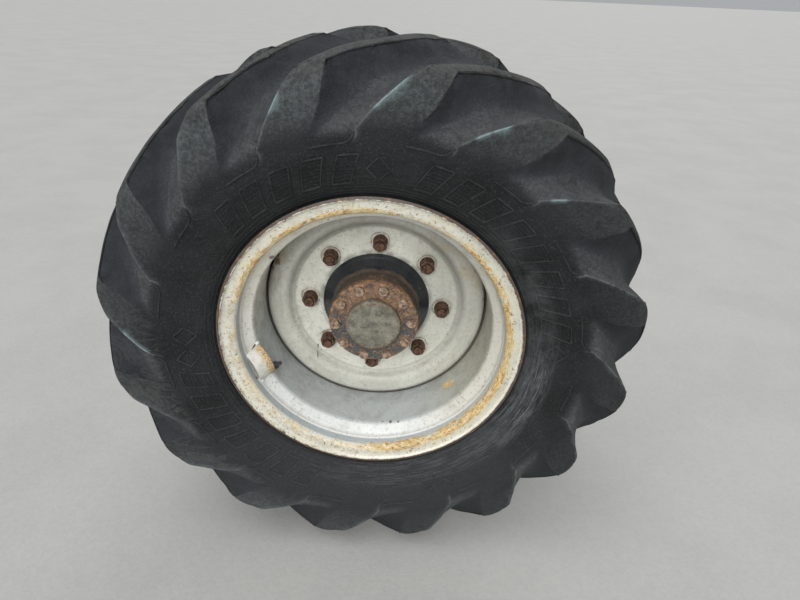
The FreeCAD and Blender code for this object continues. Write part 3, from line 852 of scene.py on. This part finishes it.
weldValues = dict(
    along=40,               # from the disc's face to the skirt's end
    skirt=226.4,
    well=229.5,
    width=9,
    proud=2.6,
    ripples=230,
    rippleDepth=0.35,
    slopeWay=(0.664, 0.748),  # the rim's slope climbs by these shares, outwards along and in radius
    # clock angle, radius, along, then reach along, across and off the rim, for the guard's weld blobs
    guardBlobs=[(-104.4, 248.6, -363, 5, 4, 3.2), (-101.2, 231.5, -341.5, 5, 4, 3.2),
                (-119, 248, -361, 5, 3.6, 2.6), (-118.8, 235, -346.5, 5.5, 3.4, 2.4)],
)


def makeDiscWeld(steel):
    # rippled bead round the skirt's inboard end: a slanting half round, sunk into disc and well
    v = weldValues
    end = discFace + v["along"]
    middle = np.array([end - v["width"] / 4, (v["skirt"] + v["well"]) / 2])
    across = np.linspace(0, 2 * math.pi, 14, endpoint=False)[:, None]
    around = np.linspace(0, 360, v["ripples"] * 4, endpoint=False)[None, :]
    ripple = v["rippleDepth"] * np.sin(np.radians(around) * v["ripples"] + 1.2 * np.sin(across))
    along = middle[0] + (v["width"] / 2) * np.cos(across) + (v["proud"] + ripple) * 0.5 * np.cos(across)
    radius = middle[1] + (v["proud"] * 0.75 + ripple) * np.sin(across)
    points = onWheel(around, radius, along) * mm
    faces = gridFaces(len(across), around.shape[1], closeRows=True, closeCols=True)
    bead = meshPiece("discWeldBead", points, [faces], "grey_paint", steel)
    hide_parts("disc_weld")
    print("disc weld made")


def makeGuardWelds(steel):
    # small lumps of weld at the guard's feet
    v = weldValues
    skins = []
    u = np.linspace(0.15, math.pi - 0.15, 9)[:, None]
    w = np.linspace(0, 2 * math.pi, 16, endpoint=False)[None, :]
    for k, (angle, radius, along, reachAlong, reachAcross, off) in enumerate(v["guardBlobs"]):
        out = onWheel(angle, 1, 0)
        way = onWheel(angle + 90, 1, 0)
        slope = np.array([0, -v["slopeWay"][0], 0]) + out * v["slopeWay"][1]
        normal = np.cross(slope, way)
        centre = onWheel(angle, radius, along)
        ball = (np.sin(u) * np.cos(w))[..., None] * slope * reachAlong
        ball = ball + (np.sin(u) * np.sin(w))[..., None] * way * reachAcross
        ball = ball + (np.cos(u) + 0 * w)[..., None] * normal * off
        points = centre + ball * (1 + 0.18 * latticeNoise((centre + ball) * mm, 220, 80 + k))[..., None]
        ring = np.arange(w.size)
        last = ring + (u.size - 1) * w.size
        faces = [gridFaces(u.size, w.size, closeCols=True), ring[None, ::-1], last[None, :]]
        skins.append((points.reshape(-1, 3), faces))
    points, faces = joinSkins(skins)
    meshPiece("guardWelds", points, faces, "cream_paint", steel)
    print("guard welds made")


# materials

rustValues = dict(
    dark=(0.055, 0.028, 0.016),
    brown=(0.15, 0.075, 0.038),
    orange=(0.42, 0.20, 0.075),
)


def rustColor(s, scale=60):
    v = rustValues
    low = s.grain(scale, 4, 0.65, 0.35, 0.62)
    high = s.grain(scale * 2.3, 4, 0.7, 0.5, 0.72)
    return s.mix(high, s.mix(low, v["dark"], v["brown"]), v["orange"])


def stains(s, spots, scale=110, ragged=0.45):
    # 1 at each spot's middle, with edges broken up by noise; spots are clock angle, radius, along and reach
    broken = s.noise(scale, 4, 0.65) - 0.5
    return s.band(s.spots(spots) + broken * (ragged * 4), 0.35, 0.62)


rubberValues = dict(
    base=(0.012, 0.013, 0.0135),
    faded=(0.022, 0.023, 0.0245),
    wall=(0.036, 0.039, 0.041),
    rubbed=(0.080, 0.087, 0.088),
    # bluish painted shade for the lugs' trailing walls
    deep=(0.033, 0.037, 0.0425),
    # painted sky light on the lug walls
    lugWall=(0.066, 0.073, 0.081),
    # faded rubber with a painted bluish sheen on the lugs' faces
    face=(0.112, 0.123, 0.127),
    # pale crest line: scuffed rubber with a painted highlight along the edge
    line=(0.15, 0.165, 0.165),
    slope=(0.052, 0.058, 0.063),
    dust=(0.112, 0.114, 0.111),
    scuff=(0.23, 0.31, 0.31),
    bright=(0.33, 0.42, 0.44),
    # clock angle, radius, along and reach of pale smears on lug crests
    smears=[(-19.3, 454, -422, 26), (4.2, 458, -420.7, 34), (1.6, 438, -424, 26),
            (25.2, 448, -423, 24), (22.6, 430, -425, 20), (44, 420, -426, 20),
            (-89, 434, -425, 26), (-91.5, 416, -426.6, 24)],
    worn=(0.110, 0.100, 0.090),
    grit=(0.130, 0.130, 0.126),
    rings=(0.215, 0.235, 0.235),
)


def makeRubber():
    v = rubberValues
    s = Shader("wornRubber", v)
    r = s.r
    along = s.around(90, 1.6, 30)
    s.color = s.mix(s.grain(9, 4, 0.6, 0.35, 0.65), "base", "faded")
    # long scuffs round the side wall, most of them low at the right
    streak = s.band(s.noise(3.6, 6, 0.8, vector=along), 0.45, 0.62)
    lowRight = s.side(144, 0.35, 0.95, 0.05, 1)
    onWall = s.band(r, 0.288, 0.3) * s.band(r, 0.352, 0.322)
    s.lay("rings", streak * lowRight * (onWall * 0.85))
    rubbed = s.side(96, 0.3, 0.9) * s.grain(20, 5, 0.7, 0.34, 0.62) * s.band(r, 0.286, 0.292)
    s.lay("rubbed", rubbed * s.band(r, 0.345, 0.315) * 0.6)
    s.lay("wall", s.side(0, -0.25, -0.9, 0, 0.75) * s.band(r, 0.285, 0.3))
    # the lugs' faces have faded and carry a painted bluish sheen, more of it at the upper left and less at
    # the far left; dust lies on the slopes
    fine = s.grain(150, 4, 0.7, 0.36, 0.66)
    upperLeft = s.side(-72, -0.8, 0.5, 0.24, 1)
    s.lay("slope", s.share("slope") * s.grain(26, 6, 0.72, 0.25, 0.6, 0.4, 1))
    faces = s.share("face") * upperLeft * s.grain(38, 6, 0.74, 0.24, 0.56, 0.76, 1)
    leftSide = s.side(-97, 0.55, 0.92)
    s.lay("face", faces * (1 - leftSide * 0.42) * s.band(fine, 0, 1, 0.5, 1))
    # lug walls painted lighter and bluish, more at the left and the top: painted sky light, broken up by
    # noise
    walls = s.band(r, 0.385, 0.42) * s.band(s.share("face"), 0.6, 0)
    walls = walls * s.band(s.noise(24, 6, 0.74, 0.8), 0.38, 0.64, 0.12, 1)
    s.lay("lugWall", walls * (s.most(leftSide, s.side(0, 0.2, 0.8)) * 0.36 + 0.26))
    dust = s.share("dust") * s.grain(48, 5, 0.72, 0.34, 0.62) * s.band(fine, 0, 1, 0.2, 0.75)
    lowLeft = s.side(-118, 0.7, 0.95)
    waves = s.noise(7, 4, 0.68, 1.6, vector=s.stretched((1, 1, 2.4)))
    waves = s.band(waves, 0.5, 0.56) * s.band(waves, 0.62, 0.56) * lowLeft
    dust = s.most(dust, waves * s.band(r, 0.375, 0.4) * 0.42)
    flecks = s.grain(300, 4, 0.78, 0.52, 0.68) * 0.34
    s.lay("dust", s.math("ADD", dust, flecks, clamp=True))
    atTop = s.side(0, 0.62, 0.94, 0.3, 1)
    # painted shade: the crown's outer ribbon is darkened, least at the top
    s.lay("base", s.band(r, 0.505, 0.517) * s.band(atTop, 0.9, 0.3, 0, 0.55))
    worn = s.share("worn")
    s.lay("worn", worn * atTop * s.grain(85, 6, 0.78, 0.4, 0.56) * 0.85)
    s.lay("grit", s.grain(210, 5, 0.82, 0.47, 0.6) * s.most(worn, s.share("slope")) * 0.5)
    # dark cracks and dents, most of them on the crown
    cracks = s.ridge(s.noise(70, 4, 0.62, 0.6), 0.5, 0.03)
    cracks = cracks * s.grain(30, 3, 0.6, 0.44, 0.6) * worn
    s.lay("base", cracks * 0.8)
    blotches = s.band(s.noise(17, 5, 0.7, 1.4), 0.52, 0.7) * s.band(r, 0.36, 0.4)
    s.lay("base", blotches * 0.38)
    slanted = s.stretched((60, 60, 22))
    marks = s.band(s.noise(3, 5, 0.75, vector=slanted), 0.47, 0.66)
    # pale line on the crests: scuffed rubber with a painted highlight along the crest's edge; the moulded
    # lines' pale tops take it too
    s.lay("line", s.share("crest") * s.grain(35, 3, 0.7, 0.35, 0.6, 0.2, 0.85))
    smear = s.band(s.spots(v["smears"]), 0, 0.7)
    some = marks * 0.14 + smear * s.grain(90, 5, 0.75, 0.36, 0.6, 0.15, 1) * 0.62
    s.lay("scuff", s.share("scuff") * some)
    s.lay("bright", s.share("crest") * smear * 0.85)
    # painted bluish shade on the lugs' trailing walls
    s.lay("deep", s.share("deep") * 0.46)
    grain = s.noise(420, 3, 0.6) + s.noise(60, 4, 0.65) * 1.6
    hide = s.math("ABSOLUTE", s.noise(95, 5, 0.75) - 0.5)
    grain = grain + hide * s.band(r, 0.385, 0.41, 0.3, 1) * 3.2
    cuts = s.band(s.noise(5, 3, 0.7, vector=slanted), 0.28, 0.4, -0.6, 0)
    height = grain + cuts * worn - cracks * 1.2
    return s.finish(0.8, height, 0.0032, 0.9, Specular_IOR_Level=0.22)


rimValues = dict(
    cream=(0.655, 0.645, 0.565),
    white=(0.66, 0.67, 0.645),
    warm=(0.59, 0.57, 0.48),
    # painted light for the slope and well on their lit side
    litSlope=(0.92, 0.88, 0.76),
    litWell=(0.80, 0.77, 0.67),
    dull=(0.50, 0.51, 0.43),
    olive=(0.36, 0.255, 0.115),
    # painted bluish shade beside the seat's corner
    seat=(0.37, 0.42, 0.44),
    # painted highlight round the seat's corner
    bright=(0.92, 0.92, 0.88),
    # painted highlight on the lip's rounded edge
    edge=(0.80, 0.78, 0.70),
    # well colours: painted shade of the recess, darker and bluer than the slope, warmer on the right
    warmWell=(0.50, 0.485, 0.39),
    well=(0.49, 0.52, 0.52),
    grime=(0.17, 0.13, 0.085),
    # painted shade in the well's corner, and dark paint runs
    wellShadeAndGrime=(0.15, 0.14, 0.115),
    ochre=(0.72, 0.42, 0.11),
    paleOchre=(0.84, 0.68, 0.34),
    wash=(0.62, 0.56, 0.36),
    burnt=(0.46, 0.185, 0.045),
    streak=(0.16, 0.075, 0.03),
    seam=(0.075, 0.040, 0.022),
    lip=(0.070, 0.045, 0.032),
    # clock angle, radius, along and reach, in degrees and millimetres
    ochreSpots=[(136.5, 229.5, -281, 21), (133, 229.5, -286, 17)],
    brownSpots=[(-52, 234.3, -346.5, 9), (169.5, 229.7, -340.5, 5.5), (173.8, 229.5, -339.1, 5),
                (165.3, 230.7, -342.3, 5), (-115.5, 250, -371, 6), (-20, 236, -349, 4)],
    # both ends of each run of paint, then its width
    runs=[((127.6, 246, -358), (128.6, 234, -345), 1.1),
          ((131.4, 245, -357), (131.8, 235, -346), 1)],
    # dark slit along the valve guard's foot: painted shadow where it meets the rim
    slit=((-104.3, 246.5, -362.5), (-101.3, 234, -346), 2.8),
)


def makeRimPaint():
    v = rimValues
    s = Shader("rimPaint", v)
    r = s.r
    inWell = s.band(r, 0.2345, 0.23)
    onSeat = s.band(r, 0.247, 0.2482) * s.band(s.y, -0.386, -0.3835)
    onFlange = s.band(r, 0.2505, 0.2525)
    warm = s.side(88, 0.25, 0.95, 0, 0.8)
    faceShare = warm * s.band(r, 0.276, 0.274) * 0.75
    s.color = s.mix(onFlange, s.mix(warm, "white", "warm"), s.mix(faceShare, "cream", "dull"))
    # the well is painted darker and bluer than the slope, warmer on the right: painted shade of the recess
    s.lay(s.mix(warm, "well", "warmWell"), inWell)
    # painted light: the slope and well are lighter towards the upper left, as if lit from there
    litSide = s.side(-38, 0.3, 0.95, 0, 0.85) * (1 - onFlange)
    s.lay(s.mix(inWell, "litSlope", "litWell"), litSide)
    s.lay("grime", s.grain(26, 6, 0.68, 0.46, 0.72) * 0.3)
    # painted shade, broken up by noise, in the well's inboard corner and over its upper part
    deep = s.most(inWell * s.band(s.y, -0.32, -0.245), inWell * s.band(s.z, -0.2, 0.06))
    s.lay("wellShadeAndGrime", deep * s.grain(40, 5, 0.7, 0.34, 0.62) * 0.28)
    # painted light on the edges: a painted highlight round the seat's corner with a painted bluish shade
    # beside it, stronger at the lower left, and a painted highlight on the lip's rounded edge
    shaded = s.side(-140, -0.3, 0.6, 0.25, 0.8)
    s.lay("seat", onSeat * s.band(s.y, -0.3675, -0.37) * shaded)
    s.lay("bright", onSeat * s.ridge(s.y, -0.3665, 0.0046) * 0.95)
    s.lay("seam", inWell * s.ridge(s.y, -0.236, 0.0045) * 0.92)
    # ochre stain in the flange's root all round, turning to rust on the right and below
    strong = s.most(s.side(108, -0.05, 0.65), s.side(-32, 0.66, 0.97, 0, 0.75)) * 0.62 + 0.38
    along = s.around(160, 9, 130)
    uneven = s.noise(1.4, 7, 0.76, vector=along)
    streaks = s.band(uneven, 0.36, 0.62)
    place = r + (uneven - 0.5) * 0.016
    root = s.ridge(place, 0.2562, 0.0155) * s.band(s.y, -0.37, -0.384)
    patchy = s.grain(16, 4, 0.65, 0.34, 0.6, 0.45, 1)
    stain = s.band(root * (strong * patchy) * s.band(streaks, 0, 1, 0.4, 1), 0.15, 0.52)
    tint = s.mix(s.grain(120, 5, 0.75, 0.38, 0.58), "paleOchre", "ochre")
    s.lay(tint, stain * 0.95)
    rust = rustColor(s, 90)
    lines = s.band(s.noise(3.4, 6, 0.8, vector=along), 0.47, 0.58)
    core = s.band(stain * streaks * strong, 0.22, 0.62) * lines
    s.lay(s.mix(s.grain(90, 4, 0.7, 0.42, 0.6), rust, "burnt"), core * 0.85)
    # olive brown grains along the root at the lower left
    grains = s.ridge(r, 0.2615, 0.013) * s.grain(120, 5, 0.8, 0.47, 0.58)
    grains = grains * s.band(s.y, -0.374, -0.386) * shaded
    s.lay("olive", grains * 0.75)
    # thin dark scratches that run round the flange
    cuts = s.band(s.noise(1.6, 4, 0.7, vector=s.around(420, 8, 360)), 0.6, 0.66)
    cuts = cuts * onFlange * s.grain(18, 3, 0.6, 0.4, 0.58)
    s.lay("streak", cuts * 0.7)
    # brown specks all over, thicker on the flange and by the lip
    s.lay("wash", s.grain(32, 6, 0.75, 0.42, 0.66) * onFlange * 0.5)
    specks = s.grain(200, 4, 0.78, 0.57, 0.635) * s.grain(24, 4, 0.65, 0.32, 0.54)
    s.lay(rust, specks * s.most(onFlange * 0.95, 0.55))
    runs = s.band(s.noise(2.4, 5, 0.75, vector=along), 0.54, 0.68)
    s.lay("wash", runs * onFlange * 0.55)
    s.lay(tint, stains(s, v["ochreSpots"]) * 0.8)
    s.lay(rust, stains(s, v["brownSpots"]) * 0.8)
    for start, end, width in v["runs"]:
        s.lay("wellShadeAndGrime", s.stroke(start, end, width) * 0.7)
    # painted shadow: a dark slit along the valve guard's foot, where it meets the rim
    s.lay("seam", s.stroke(*v["slit"]))
    jagged = (s.noise(50, 5, 0.75) - 0.5) * 0.008
    spotty = s.band(r + jagged, 0.274, 0.2795) * s.grain(130, 5, 0.75, 0.5, 0.6)
    s.lay(rust, spotty * 0.8)
    # painted highlight on the lip's rounded edge, towards the lower right
    s.lay("edge", s.ridge(r, 0.2772, 0.002) * s.side(120, 0.1, 0.6) * 0.85)
    lip = s.band(r + jagged, 0.2788, 0.28)
    s.lay(s.mix(s.grain(60, 4, 0.6, 0.48, 0.66), "lip", rust), lip * 0.96)
    dents = s.noise(30, 3, 0.5) * 1.2 + s.noise(240, 3, 0.6) * 0.35
    rough = s.grain(40, 3, 0.55, 0.3, 0.7, 0.34, 0.6)
    return s.finish(rough, dents - s.most(core, lip) * 0.6, 0.0012, 0.6)


discValues = dict(
    grey=(0.62, 0.62, 0.54),
    pale=(0.71, 0.71, 0.63),
    shade=(0.21, 0.205, 0.18),
    stain=(0.42, 0.34, 0.20),
    # grime, also used for painted shade in the bend
    dirtAndShade=(0.25, 0.22, 0.17),
    scratch=(0.055, 0.045, 0.035),
    seam=(0.125, 0.070, 0.036),
    rustSpots=[(-66, 221, -245, 15), (-63, 224, -241, 9), (-71, 225, -239, 9),
               (78, 225, -240, 6), (84, 225.5, -239, 6), (90, 226, -238, 5)],
    paleStains=[(64, 208, -248, 42), (52, 214, -247, 30), (44, 190, -248, 20),
                (36, 188, -248, 14), (-62, 216, -246, 30), (74, 221, -244, 30)],
    # both ends of each scratch as clock angle, radius and along, then its width
    scratches=[((-137.5, 183, -245), (-132, 168, -230.5), 2.6),
               ((-139, 178, -241), (-136.5, 171, -233), 2),
               ((-88, 205, -249), (-84, 198, -249), 2)],
)


def makeDiscPaint():
    v = discValues
    s = Shader("discPaint", v)
    r = s.r
    s.color = s.mix(s.grain(11, 4, 0.6, 0.38, 0.62), "grey", "pale")
    streaks = s.band(s.noise(34, 5, 0.68, vector=s.stretched((1, 1, 0.35))), 0.52, 0.72)
    s.lay("dirtAndShade", streaks * 0.4)
    # distance to the nearest stud: the wheel's circle and the angle from it, by the law of cosines
    circle = nutValues["circle"] * mm
    square = r * r + circle ** 2 - r * (2 * circle) * s.math("COSINE", s.fromNearest(nutValues))
    wobble = (s.noise(60, 4, 0.65) - 0.5) * 0.008
    gap = s.math("SQRT", s.most(square, 0)) + wobble
    halo = s.band(gap, 0.027, 0.0165) * s.grain(45, 4, 0.65, 0.34, 0.6)
    s.lay(s.mix(s.grain(70, 4, 0.7, 0.42, 0.6), "stain", rustColor(s, 80)), halo * 0.62)
    ring = s.ridge(gap, 0.0192, 0.0016) * s.grain(30, 3, 0.6, 0.38, 0.55)
    s.lay("scratch", ring * 0.85)
    # grime against the hub, and a patchy darkening in the bend, partly grime and partly painted shade
    s.lay("scratch", s.band(r, 0.122, 0.112) * s.grain(40, 4, 0.55, 0.3, 0.6) * 0.6)
    s.lay("dirtAndShade", s.ridge(r, 0.176, 0.007) * s.grain(26, 4, 0.65, 0.46, 0.66) * 0.45)
    # painted shade: on the bend, most of it at the top; a thin dark line at the bend's inner foot; patches on
    # the raised ring; and a broad shade over the flat's right side; then grime at the disc's outer edge
    top = s.side(0, -0.5, 0.9, 0.35, 1)
    s.lay("shade", s.ridge(r, 0.1785, 0.014) * top * 0.62)
    s.lay("shade", s.ridge(r, 0.1708, 0.004) * 0.34)
    s.lay("shade", s.band(r, 0.178, 0.19) * s.grain(15, 4, 0.6, 0.3, 0.64, 0.5, 1) * 0.24)
    s.lay("shade", s.band(s.x, 0.03, 0.14) * s.band(s.z, -0.16, 0.02) * 0.38)
    s.lay("dirtAndShade", s.band(r, 0.2215, 0.2255) * s.grain(34, 4, 0.65, 0.4, 0.58) * 0.6)
    rust = rustColor(s, 85)
    s.lay("stain", stains(s, v["paleStains"], 80, 0.62) * 0.42)
    s.lay(rust, stains(s, v["rustSpots"]) * 0.85)
    for start, end, width in v["scratches"]:
        s.lay("scratch", s.stroke(start, end, width) * 0.75)
    s.lay("dirtAndShade", s.grain(110, 5, 0.75, 0.46, 0.66) * 0.22)
    speck = s.grain(240, 4, 0.8, 0.585, 0.645) * s.grain(22, 4, 0.55, 0.34, 0.56)
    s.lay(s.mix(s.noise(50, 3), "dirtAndShade", "scratch"), speck * 0.8)
    s.lay("seam", s.band(r + wobble, 0.2245, 0.2262) * 0.75)
    height = s.noise(22, 3, 0.5) * 1.6 + s.noise(260, 3, 0.6) * 0.3 - ring * 0.5
    rough = s.grain(30, 3, 0.55, 0.3, 0.7, 0.38, 0.6)
    return s.finish(rough, height, 0.001, 0.5)


hubValues = dict(
    black=(0.023, 0.0255, 0.028),
    brown=(0.085, 0.060, 0.042),
    noseStart=-0.252,
)


def makeHubPaint():
    v = hubValues
    s = Shader("hubPaint", v)
    s.color = s.mix(s.grain(30, 4, 0.6, 0.45, 0.7, 0, 0.3), "black", (0.046, 0.051, 0.056))
    specks = s.grain(240, 3, 0.75, 0.68, 0.73) * s.grain(28, 3, 0.55, 0.46, 0.6)
    s.lay((0.38, 0.4, 0.4), specks * 0.8)
    brown = s.band(s.y + (s.noise(45, 4, 0.7) - 0.5) * 0.02, v["noseStart"], v["noseStart"] - 0.007)
    s.lay(s.mix(s.grain(60, 4, 0.55, 0.4, 0.62), "brown", (0.15, 0.105, 0.07)), brown * 0.9)
    height = s.noise(70, 3, 0.6) + s.noise(300, 2) * 0.3
    rough = brown * 0.4 + s.grain(26, 3, 0.55, 0.3, 0.7, 0.2, 0.36)
    return s.finish(rough, height, 0.0012, 0.5)


def makeCastIron():
    # rusty cover: most rust at the top, grey between the bolts lower down, dark towards its neck
    s = Shader("rustyCasting")
    r = s.r
    s.color = s.mix(s.grain(62, 6, 0.78, 0.36, 0.6), (0.098, 0.062, 0.042), (0.275, 0.162, 0.095))
    s.lay((0.5, 0.255, 0.105), s.grain(125, 5, 0.8, 0.5, 0.6) * 0.75)
    face = s.band(s.y, -0.3145, -0.3162) * s.band(r, 0.0545, 0.057)
    step = 2 * math.pi / boltValues["count"]
    away = s.math("ABSOLUTE", s.fromNearest(boltValues))
    between = s.band(away, step * 0.13, step * 0.3) * s.band(r, 0.0875, 0.082)
    grey = s.most(between, s.band(r, 0.069, 0.064)) * face * s.grain(85, 5, 0.75, 0.32, 0.52)
    s.lay((0.072, 0.08, 0.084), grey * s.band(s.z, 0.055, -0.02, 0.3, 1) * 0.95)
    pits = s.grain(280, 4, 0.8, 0.57, 0.66)
    s.lay((0.03, 0.022, 0.017), pits * 0.65)
    s.lay((0.5, 0.42, 0.33), s.grain(330, 4, 0.8, 0.58, 0.66) * 0.6)
    neck = s.band(s.y, -0.308, -0.29) * s.grain(30, 4, 0.7, 0.22, 0.5)
    s.lay(s.mix(s.band(s.y, -0.285, -0.27), (0.06, 0.048, 0.036), (0.038, 0.035, 0.032)), neck * 0.88)
    height = s.noise(120, 5, 0.75) * 1.6 - pits * 0.8
    return s.finish(0.8, height, 0.002, 0.9)


def makeWornCap():
    s = Shader("wornCap")
    r = s.r
    s.color = s.mix(s.grain(45, 5, 0.7, 0.36, 0.64), (0.132, 0.126, 0.1), (0.265, 0.25, 0.2))
    s.lay((0.055, 0.045, 0.036), s.grain(210, 4, 0.75, 0.52, 0.66) * 0.7)
    s.lay((0.42, 0.36, 0.26), s.grain(230, 5, 0.8, 0.56, 0.66) * 0.7)
    rim = s.band(r + s.noise(60, 4, 0.7) * 0.006, 0.046, 0.054) * s.grain(50, 4, 0.65, 0.36, 0.58)
    s.lay(rustColor(s, 110), rim * 0.4)
    foot = s.band(s.y, -0.3215, -0.318) * s.grain(50, 4, 0.65, 0.36, 0.58)
    s.lay(rustColor(s, 80), foot * 0.7)
    height = s.noise(150, 5, 0.75) + s.noise(30, 3) * 0.8
    return s.finish(0.6, height, 0.0012, 0.8, Metallic=0.2)


def makeRust(name, dark, light):
    # rusted steel of nuts, studs and bolts
    s = Shader(name)
    s.color = s.mix(s.grain(120, 4, 0.65, 0.36, 0.64), dark, light)
    s.lay(rustValues["orange"], s.grain(260, 3, 0.7, 0.56, 0.7) * 0.6)
    # pits round scattered points
    cells = s.node("TexVoronoi", {"Vector": s.coords, "Scale": 420})
    height = s.noise(320, 4, 0.7) - s.band(cells, 0.25, 0.05)
    return s.finish(0.72, height, 0.0007, 0.8, Metallic=0.15)


def makeBlackCasting():
    s = Shader("blackCasting")
    s.color = s.mix(s.grain(14, 5, 0.65, 0.42, 0.66), (0.022, 0.022, 0.023), (0.075, 0.068, 0.058))
    height = s.noise(90, 4, 0.7) + s.noise(15, 3) * 0.8
    return s.finish(0.55, height, 0.0015, 0.6)


def makeGuardPaint():
    # cream strap with ochre rust that fades from its inboard edge
    s = Shader("guardPaint")
    s.color = s.mix(s.grain(60, 5, 0.7, 0.46, 0.68, 0, 0.5), (0.66, 0.655, 0.6), (0.42, 0.37, 0.27))
    # distance across the rim's slope, from its inboard foot outwards
    way = np.array(weldValues["slopeWay"])
    across = s.y * -way[0] + s.r * way[1]
    edge = across + (s.noise(140, 6, 0.8) - 0.5) * 0.026
    s.lay((0.6, 0.4, 0.16), s.band(edge, 0.415, 0.4) * 0.85)
    spots = s.band(edge, 0.412, 0.398) * s.grain(300, 4, 0.75, 0.48, 0.58)
    s.lay(rustColor(s, 120), spots * 0.85)
    return s.finish(0.55, s.noise(120, 4, 0.6), 0.001, 0.6)


def makePlain(name, color, rough, fleck):
    s = Shader(name)
    s.color = s.mix(s.grain(70, 4, 0.6, 0.45, 0.7, 0, 0.5), color, fleck)
    return s.finish(rough, s.noise(180, 3), 0.0006, 0.5)


def paintNode(material, *nodes):
    # give CAD nodes a material
    for node in nodes:
        mesh = frame["nodes"][node].data
        mesh.materials.clear()
        mesh.materials.append(material)


makeCamera()
makeStage()
rubber = makeRubber()
makeTyre(rubber)
makeMoulding(rubber)
rimPaint, discPaint, castIron = makeRimPaint(), makeDiscPaint(), makeCastIron()
nutRust = makeRust("rustyNuts", (0.026, 0.015, 0.011), (0.140, 0.070, 0.042))
boltRust = makeRust("rustyBolts", (0.12, 0.078, 0.052), (0.42, 0.31, 0.225))
makeNuts(nutRust)
makeBolts(boltRust, makeCover(castIron, makeWornCap()))
makeDiscWeld(discPaint)
guardPaint = makeGuardPaint()
makeGuardWelds(makePlain("weldPaint", (0.80, 0.80, 0.77), 0.45, (0.62, 0.58, 0.48)))
paintNode(rimPaint, "rim")
paintNode(discPaint, "wheel_disc")
paintNode(makeHubPaint(), "hub")
paintNode(makeBlackCasting(), "axle_end")
paintNode(guardPaint, "valve_guard")
paintNode(makePlain("valveRubber", (0.075, 0.070, 0.085), 0.55, (0.13, 0.12, 0.13)), "valve_stem")
paintNode(makePlain("valvePlastic", (0.095, 0.092, 0.115), 0.50, (0.17, 0.16, 0.17)), "valve_cap")
paintNode(nutRust, *numbered("wheel_stud_%d", nutValues["count"]))
print("materials given")
